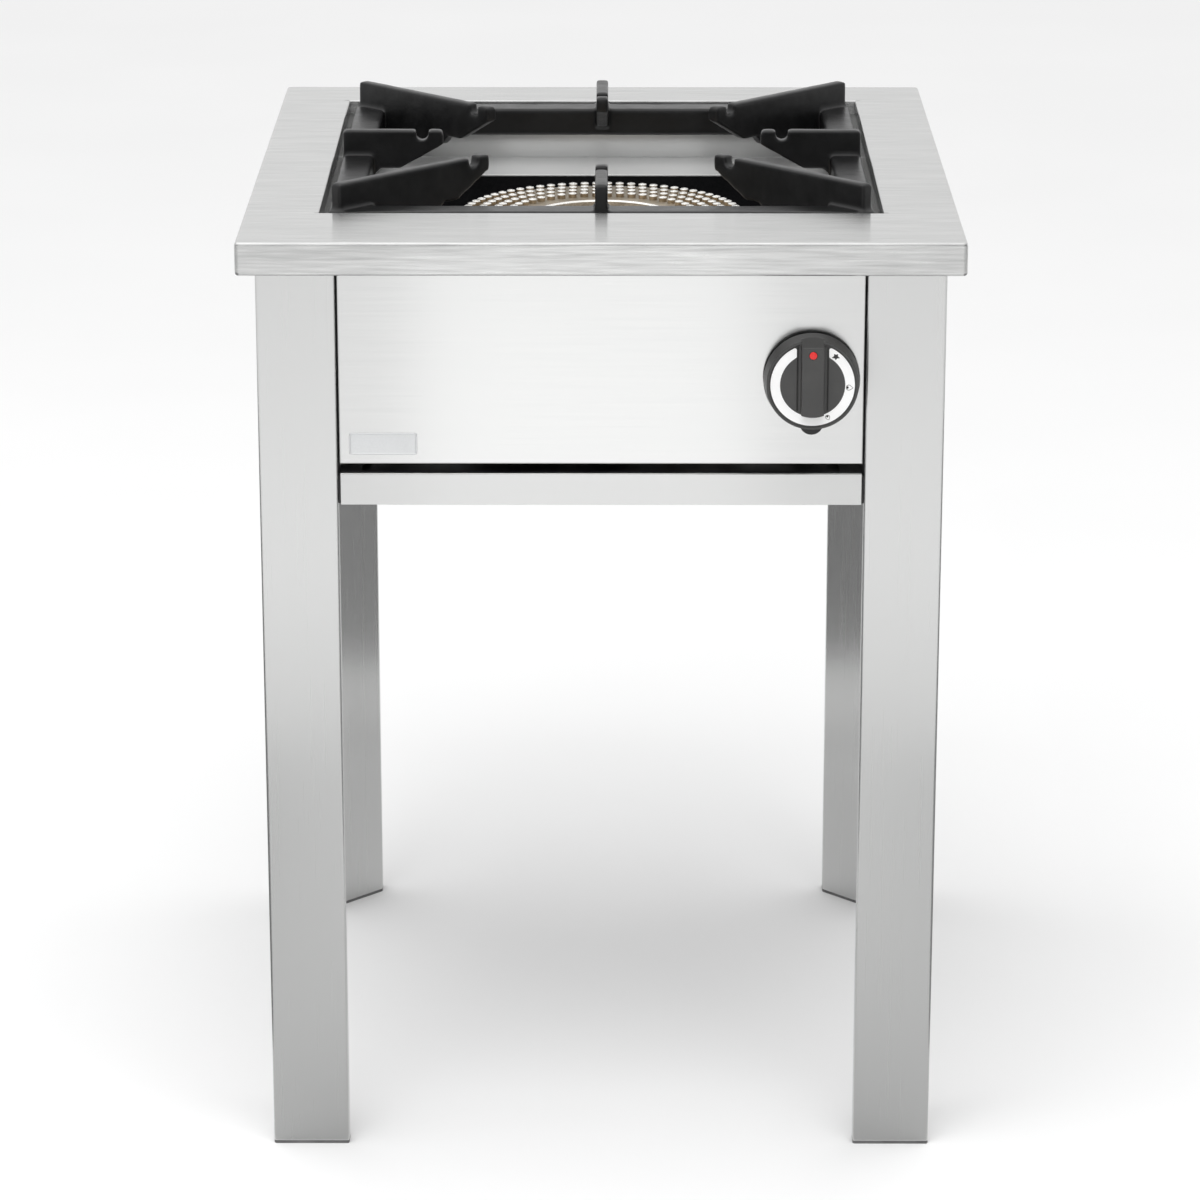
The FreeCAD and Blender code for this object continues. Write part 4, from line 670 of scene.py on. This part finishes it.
def make_dial_symbols():
    """Generic signs printed on the dial: a spark, a large flame and a small flame."""
    dial_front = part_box("knob_dial")[0].y
    ink_front = dial_front - INK_THICKNESS
    build = bmesh.new()
    knob_plate(build, placed(spark(SPARK_OUTER, SPARK_INNER), SPARK_CLOCK), dial_front, ink_front)
    for clock, length, half_width, dot in (LARGE_FLAME, SMALL_FLAME):
        outer = teardrop(length, half_width)
        inner = teardrop(length - FLAME_LINE_ENDS, half_width - FLAME_LINE_SIDE)
        core = disc(dot, 1.0 * MM - length / 2)
        knob_plate(build, placed(outer, clock), dial_front, ink_front, placed(inner, clock))
        knob_plate(build, placed(core, clock), dial_front, ink_front - DOT_RISE)
    new_piece("dial_symbols", to_mesh("dial_symbols", build), "knob", "foot_plastic", (INK_AND_PAINTED_SHADE,), smooth=False)


# ---------------------------------------------------------------- marker dot
MARKER_SEGMENTS = 40
# shares of the radius and of the depth
MARKER_DOME = ((1.0, 0.0), (1.0, 0.45), (0.93, 0.8), (0.75, 0.95), (0.4, 1.0))
SEAT_SHARE = 0.3
SEAT_INNER = 0.35 * MM
SEAT_OUTER = 0.45 * MM


def make_marker():
    """Domed red dot in a dark seat at the upper end of the grip."""
    low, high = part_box("knob_marker")
    middle = (low + high) / 2
    radius = (high.x - low.x) / 2
    depth = high.y - low.y
    seat_front = high.y - SEAT_SHARE * depth
    build = bmesh.new()

    def ring(size, y):
        return upright_ring(build, middle, y, [size] * MARKER_SEGMENTS)

    skin_and_caps(build, [ring(radius * share, high.y - depth * rise) for share, rise in MARKER_DOME])
    seat = [ring(radius, high.y), ring(radius, seat_front), ring(radius + SEAT_INNER, seat_front),
            ring(radius + SEAT_OUTER, high.y)]
    skin(build, seat + seat[:1], finish=1)
    piece = new_piece("marker_dot", to_mesh("marker_dot", build), "knob", "marker_red",
                      (FINISHES["marker_red"], INK_AND_PAINTED_SHADE))
    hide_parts("knob_marker")


def make_tap_spring():
    """The knob's return spring, copied from its CAD node; the real one shortens towards its rear end as the
    knob is pushed in.
    """
    shape = NODES["tap_spring"].data.copy()
    shape.materials.clear()
    piece = new_piece("tap_spring_coil", shape, BODY_OF["tap_spring"], SLOT_OF["tap_spring"])
    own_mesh(piece)
    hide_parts("tap_spring")


# ---------------------------------------------------------------- gas inlet
THREAD_PITCH = 1.814 * MM
THREAD_DEPTH = 1.0 * MM
THREAD_RADIUS = 10.46 * MM
THREAD_STEPS = 8
GROOVE_RADIUS = 9.2 * MM
GROOVE_LENGTH = 2.0 * MM
INLET_BORE = 7.0 * MM
BORE_BEVEL = 0.8 * MM
INLET_HEX_HALF = 13.5 * MM
INLET_HEX_INSET = 0.4 * MM
INLET_HEX_BEVEL = 1.6 * MM
INLET_COLLAR = 12.0 * MM
INLET_SIDES = 72


def hex_radius(angle):
    """Distance to the edge of the inlet's hexagon in a direction."""
    within = (angle + math.pi / 6) % (math.pi / 3) - math.pi / 6
    return INLET_HEX_HALF / math.cos(math.pi / 6 - abs(within))


def thread_radius(angle, y, end):
    """Radius of the thread in a direction at a depth; the crests run out within a pitch of its end."""
    phase = (y / THREAD_PITCH + angle / (2.0 * math.pi)) % 1.0
    crest = min(1.0, 1.5 * abs(2.0 * phase - 1.0))
    fade = min(1.0, 0.3 + (end - y) / THREAD_PITCH)
    return THREAD_RADIUS - THREAD_DEPTH * (1.0 - crest * fade)


def round_rows(*steps):
    """Rows of the inlet's outline that are round, from (depth, radius) steps."""
    return [(y, [radius] * INLET_SIDES) for y, radius in steps]


def make_inlet():
    """Gas inlet: bevelled hexagon inside the panel, relief groove, and a thread of standard pitch."""
    low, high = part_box("inlet_nipple")
    middle = (low + high) / 2
    collar_end = low.y + INLET_COLLAR
    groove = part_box("inlet_lock_nut")[1].y
    thread_start = groove + GROOVE_LENGTH
    face_radius = INLET_HEX_HALF - INLET_HEX_INSET
    corner = 2.0 * INLET_HEX_HALF / math.sqrt(3.0)
    angles = turn(INLET_SIDES)
    hexagon = [(y, [min(most, hex_radius(a)) for a in angles])
               for y, most in ((low.y, face_radius), (low.y + INLET_HEX_BEVEL, corner),
                               (collar_end - INLET_HEX_BEVEL, corner), (collar_end, face_radius))]
    shank = round_rows((collar_end, THREAD_RADIUS), (groove, THREAD_RADIUS), (groove, GROOVE_RADIUS),
                       (thread_start, GROOVE_RADIUS))
    rows = int((high.y - thread_start) / THREAD_PITCH * THREAD_STEPS)
    depths = [thread_start + (high.y - thread_start) * row / rows for row in range(rows + 1)]
    thread = [(y, [thread_radius(a, y, high.y) for a in angles]) for y in depths]
    bore = round_rows((high.y, INLET_BORE + BORE_BEVEL), (high.y - BORE_BEVEL, INLET_BORE),
                      (low.y, INLET_BORE))
    build = bmesh.new()
    rings = [upright_ring(build, middle, y, radii) for y, radii in hexagon + shank + thread + bore]
    skin(build, rings + rings[:1])
    piece = new_piece("inlet_threaded", to_mesh("inlet_threaded", build), "frame", "tap_brass", smooth=False)
    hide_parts("inlet_nipple")


# ---------------------------------------------------------------- panel screws
SCREW_RADIUS = 3.6 * MM
SCREW_HEIGHT = 1.9 * MM
SCREW_SEGMENTS = 32
# shares of the radius and of the height
SCREW_DOME = ((1.0, 0.0), (0.99, 0.35), (0.93, 0.62), (0.78, 0.85), (0.55, 0.97), (0.30, 1.0))
RECESS_SHARE = 0.6
SCREW_FROM_BOTTOM = 18 * MM
SCREW_FROM_TOP = 42 * MM
REAR_SCREW_EDGE = 10 * MM
SIDE_SCREW_EDGE = 12 * MM


def screw_head(build, place, outward):
    """Domed cross-recess screw head that stands on a surface."""
    aim = outward.to_track_quat("Z", "Y").to_matrix()

    def point(radius, angle, height):
        local = Vector((radius * math.cos(angle), radius * math.sin(angle), height))
        return build.verts.new(place + aim @ local)

    rings = []
    for share, rise in SCREW_DOME:
        recess = 0.55 * SCREW_HEIGHT if share < RECESS_SHARE else 0.0
        rings.append([point(SCREW_RADIUS * share, a, SCREW_HEIGHT * rise - recess * abs(math.cos(2 * a)) ** 8)
                      for a in turn(SCREW_SEGMENTS)])
    skin(build, rings + [[point(0.0, 0.0, SCREW_HEIGHT * 0.4)]])


def make_screws():
    """Screws that hold the rear and side panels to the stand."""
    build = bmesh.new()
    low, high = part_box("rear_panel")
    for x in (low.x + REAR_SCREW_EDGE, high.x - REAR_SCREW_EDGE):
        for z in (low.z + SCREW_FROM_BOTTOM, (low.z + high.z) / 2, high.z - SCREW_FROM_TOP):
            screw_head(build, Vector((x, high.y, z)), Vector((0, 1, 0)))
    for side, sign in (("left", -1), ("right", 1)):
        low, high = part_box(f"side_panel_{side}")
        face = low.x if sign < 0 else high.x
        for y in (low.y + SIDE_SCREW_EDGE, high.y - SIDE_SCREW_EDGE):
            for z in (low.z + SCREW_FROM_BOTTOM, high.z - SCREW_FROM_TOP):
                screw_head(build, Vector((face, y, z)), Vector((sign, 0, 0)))
    new_piece("panel_screws", to_mesh("panel_screws", build), "frame", "steel_plated")


# ---------------------------------------------------------------- painted shade in the seams
SEAM_WIDTH = 1.5 * MM
SHADE_STRIP_FRONT = 4.4 * MM
SHADE_STRIP_HOLLOW = 5.0 * MM
SHADE_STRIP_REAR = 9.0 * MM
SHADE_STRIP_BELOW = 14.0 * MM
SHADE_STRIP_FROM_TOP = 1.5 * MM


def make_seam_painted_shade():
    """Black strip in the seams between the control panel's side returns and the legs, as painted shade."""
    low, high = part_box("control_panel")
    build = bmesh.new()
    # Each strip is painted shade in the seam's gap.
    for panel_x, leg_x in ((low.x, low.x - SEAM_WIDTH), (high.x, high.x + SEAM_WIDTH)):
        outline = [(leg_x, SHADE_STRIP_REAR), (leg_x, SHADE_STRIP_FRONT), ((panel_x + leg_x) / 2, SHADE_STRIP_HOLLOW),
                   (panel_x, SHADE_STRIP_FRONT), (panel_x, SHADE_STRIP_REAR)]
        skin_and_caps(build, [[build.verts.new((x, low.y + behind, z)) for x, behind in outline]
                              for z in (low.z - SHADE_STRIP_BELOW, (low.z + high.z) / 2, high.z - SHADE_STRIP_FROM_TOP)])
    new_piece("seam_painted_shade", to_mesh("seam_painted_shade", build), "frame", "foot_plastic", (INK_AND_PAINTED_SHADE,), smooth=False)


# ---------------------------------------------------------------- badge
# inset in millimetres, share of the plate's depth, corner radius in millimetres
BADGE_ROWS = ((0.0, 0.0, 2.0), (0.0, 0.7, 2.0), (0.25, 1.0, 1.8), (1.0, 1.0, 1.2), (1.3, 0.62, 1.0))
CORNER_STEPS = 6


def rounded_rectangle(half_x, half_z, radius):
    """Points (across, up) of a rectangle with round corners."""
    points = []
    for quarter, (right, above) in enumerate(((1, 1), (-1, 1), (-1, -1), (1, -1))):
        for step in range(CORNER_STEPS + 1):
            a = math.radians(90.0 * (quarter + step / CORNER_STEPS))
            points.append((right * (half_x - radius) + radius * math.cos(a),
                           above * (half_z - radius) + radius * math.sin(a)))
    return points


def make_badge():
    """Blank metal plate with a raised, rounded border."""
    low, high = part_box("badge_plate")
    middle = (low + high) / 2
    half = (high - low) / 2
    build = bmesh.new()
    rings = []
    for inset, share, corner in BADGE_ROWS:
        y = high.y - (high.y - low.y) * share
        outline = rounded_rectangle(half.x - inset * MM, half.z - inset * MM, corner * MM)
        rings.append([build.verts.new((middle.x + across, y, middle.z + up)) for across, up in outline])
    skin_and_caps(build, rings)
    piece = new_piece("badge_blank", to_mesh("badge_blank", build), "frame", "badge_metal", smooth=False)
    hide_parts("badge_plate")


# ---------------------------------------------------------------- stage
CAMERA_PLACE = (7.6 * MM, -3.6768, 1.5251)
CAMERA_PITCH = 17.51
CAMERA_YAW = 0.142
CAMERA_LENS = 138.6
CAMERA_FILM = 36.0
FLOOR_RADIUS = 40.0
FLOOR_SIDES = 96
SKY_FRONT = 0.20
SKY_BACK = 0.97
SKY_TOP = 1.15
CARD_HEIGHT = 2 * MM
CARD_INNER = 0.45
CARD_OUTER = 2.4
SIDE_CARD_DEPTHS = (-1.2, 1.6)
FRONT_CARD_DEPTHS = (-1.7, -0.288)
FRONT_CARD_GREYS = (0.62, 0.92)
CARD_LEFT_GREY = 0.17
CARD_RIGHT_GREY = 0.24
CARD_GREY_STEP = 0.03
GLOW_PLACE = (-0.02, -1.80, 0.20)
GLOW_TARGET = (-0.02, -0.3, 0.60)
GLOW_STEPS = 6
GLOW_NARROW = 0.10
GLOW_WIDE = 0.38
GLOW_HEIGHT = 0.7
GLOW_RADIANCE = 0.33
# place, target, size and watts of each soft box above
FRONT_FAR = ((0.0, -5.4, 2.1), (0.0, 0.2, 0.69), (2.5, 2.0), 11.0)
KEY_HIGH = ((-1.2, -1.0, 3.0), (0.0, 0.0, 0.7), (4.0, 4.0), 26.0)
FLOOR_WASH = ((0.0, -1.3, 2.6), (0.0, -0.7, 0.0), (2.0, 1.2), 20.0)


def show(name, data):
    """Object of the stage from its data."""
    made = bpy.data.objects.new(name, data)
    bpy.context.scene.collection.objects.link(made)
    return made


def area_light(name, place, target, size, power):
    """Rectangular soft box that shines at a point and isn't seen itself."""
    data = bpy.data.lights.new(name, "AREA")
    data.shape = "RECTANGLE"
    data.size, data.size_y = size
    data.energy = power
    lamp = show(name, data)
    lamp.location = place
    lamp.rotation_euler = (Vector(target) - Vector(place)).to_track_quat("-Z", "Y").to_euler()
    lamp.visible_camera = False
    return lamp


def flat_card(name, x_range, y_range, near, far):
    """Card on the floor that only shows in reflections; near is its grey at the rear, far in front."""
    (left, right), (front, rear) = x_range, y_range
    build = bmesh.new()
    build.faces.new([build.verts.new((x, y, CARD_HEIGHT))
                     for x, y in ((left, front), (right, front), (right, rear), (left, rear))])
    card = show(name, to_mesh(name, build))
    r = Recipe(name)
    depth = r.math("ADD", r.remap(r.component(r.coords, "Y"), rear, front, 0.0, 1.0),
                   r.spread(r.noise(3.0), -0.02, 0.02))
    r.feed(Base_Color=r.ramp(depth, (0.0, (near,) * 3), (1.0, (far,) * 3)), Roughness=1.0,
           Specular_IOR_Level=0.0)
    card.data.materials.append(r.material)
    card.visible_camera = False
    card.visible_diffuse = False
    card.visible_shadow = False


def make_floor():
    """Pale floor paper, and grey cards on it that the steel mirrors."""
    build = bmesh.new()
    bmesh.ops.create_circle(build, cap_ends=True, segments=FLOOR_SIDES, radius=FLOOR_RADIUS)
    floor = show("floor", to_mesh("floor", build))
    r = Recipe("floor_paper")
    r.feed(Base_Color=r.shades(r.noise(2.0, detail=2.0), (0.93,) * 3, (0.945,) * 3), Roughness=0.9,
           Specular_IOR_Level=0.1)
    floor.data.materials.append(r.material)
    for name, sign, grey in (("card_left", -1, CARD_LEFT_GREY), ("card_right", 1, CARD_RIGHT_GREY)):
        flat_card(name, (sign * CARD_INNER, sign * CARD_OUTER), SIDE_CARD_DEPTHS, grey, grey + CARD_GREY_STEP)
    flat_card("card_front", (-CARD_INNER, CARD_INNER), FRONT_CARD_DEPTHS, *FRONT_CARD_GREYS)


def make_sky():
    """Pale surroundings: brightest overhead, darker in front, and plain white to the camera."""
    world = bpy.data.worlds.new("studio")
    bpy.context.scene.world = world
    world.use_nodes = True
    tree = world.node_tree
    background = tree.nodes["Background"]
    background.inputs["Color"].default_value = (1.0, 1.0, 1.0, 1.0)

    def ranged(source, low, high, to_low, to_high):
        made = tree.nodes.new("ShaderNodeMapRange")
        made.interpolation_type = "SMOOTHSTEP"
        for name, value in (("From Min", low), ("From Max", high), ("To Min", to_low), ("To Max", to_high)):
            if isinstance(value, float):
                made.inputs[name].default_value = value
            else:
                tree.links.new(value, made.inputs[name])
        tree.links.new(source, made.inputs["Value"])
        return made.outputs["Result"]

    direction = tree.nodes.new("ShaderNodeSeparateXYZ")
    tree.links.new(tree.nodes.new("ShaderNodeTexCoord").outputs["Generated"], direction.inputs["Vector"])
    around = ranged(direction.outputs["Y"], -0.5, 0.5, SKY_FRONT, SKY_BACK)
    strength = ranged(direction.outputs["Z"], 0.45, 0.85, around, SKY_TOP)
    seen = tree.nodes.new("ShaderNodeMix")
    tree.links.new(tree.nodes.new("ShaderNodeLightPath").outputs["Is Camera Ray"], seen.inputs["Factor"])
    tree.links.new(strength, seen.inputs["A"])
    seen.inputs["B"].default_value = 1.0
    tree.links.new(seen.outputs["Result"], background.inputs["Strength"])


def make_lights():
    """Low glow in front, from nested soft boxes, and three soft boxes above."""
    for step in range(GLOW_STEPS):
        width = GLOW_NARROW + (GLOW_WIDE - GLOW_NARROW) * step / (GLOW_STEPS - 1)
        area_light(f"glow_{step}", GLOW_PLACE, GLOW_TARGET, (width, GLOW_HEIGHT),
                   GLOW_RADIANCE * math.pi * width * GLOW_HEIGHT)
    area_light("front_far", *FRONT_FAR)
    area_light("key_high", *KEY_HIGH)
    area_light("floor_wash", *FLOOR_WASH).visible_glossy = False


def make_camera():
    """Camera in front and above, which looks down at the worktop."""
    data = bpy.data.cameras.new("camera")
    data.lens = CAMERA_LENS
    data.sensor_width = CAMERA_FILM
    camera = show("camera", data)
    camera.location = CAMERA_PLACE
    camera.rotation_euler = Euler((math.radians(90.0 - CAMERA_PITCH), 0.0, math.radians(CAMERA_YAW)))
    bpy.context.scene.camera = camera
    bpy.context.scene.view_settings.view_transform = "Standard"


# ---------------------------------------------------------------- all
def main():
    """Build every piece."""
    paint_cad_nodes()
    soften_sheets()
    make_pan_support()
    make_knob()
    make_burner_cap()
    make_dial_symbols()
    make_marker()
    make_badge()
    make_tap_spring()
    make_inlet()
    make_screws()
    make_seam_painted_shade()
    make_floor()
    make_sky()
    make_lights()
    make_camera()


main()
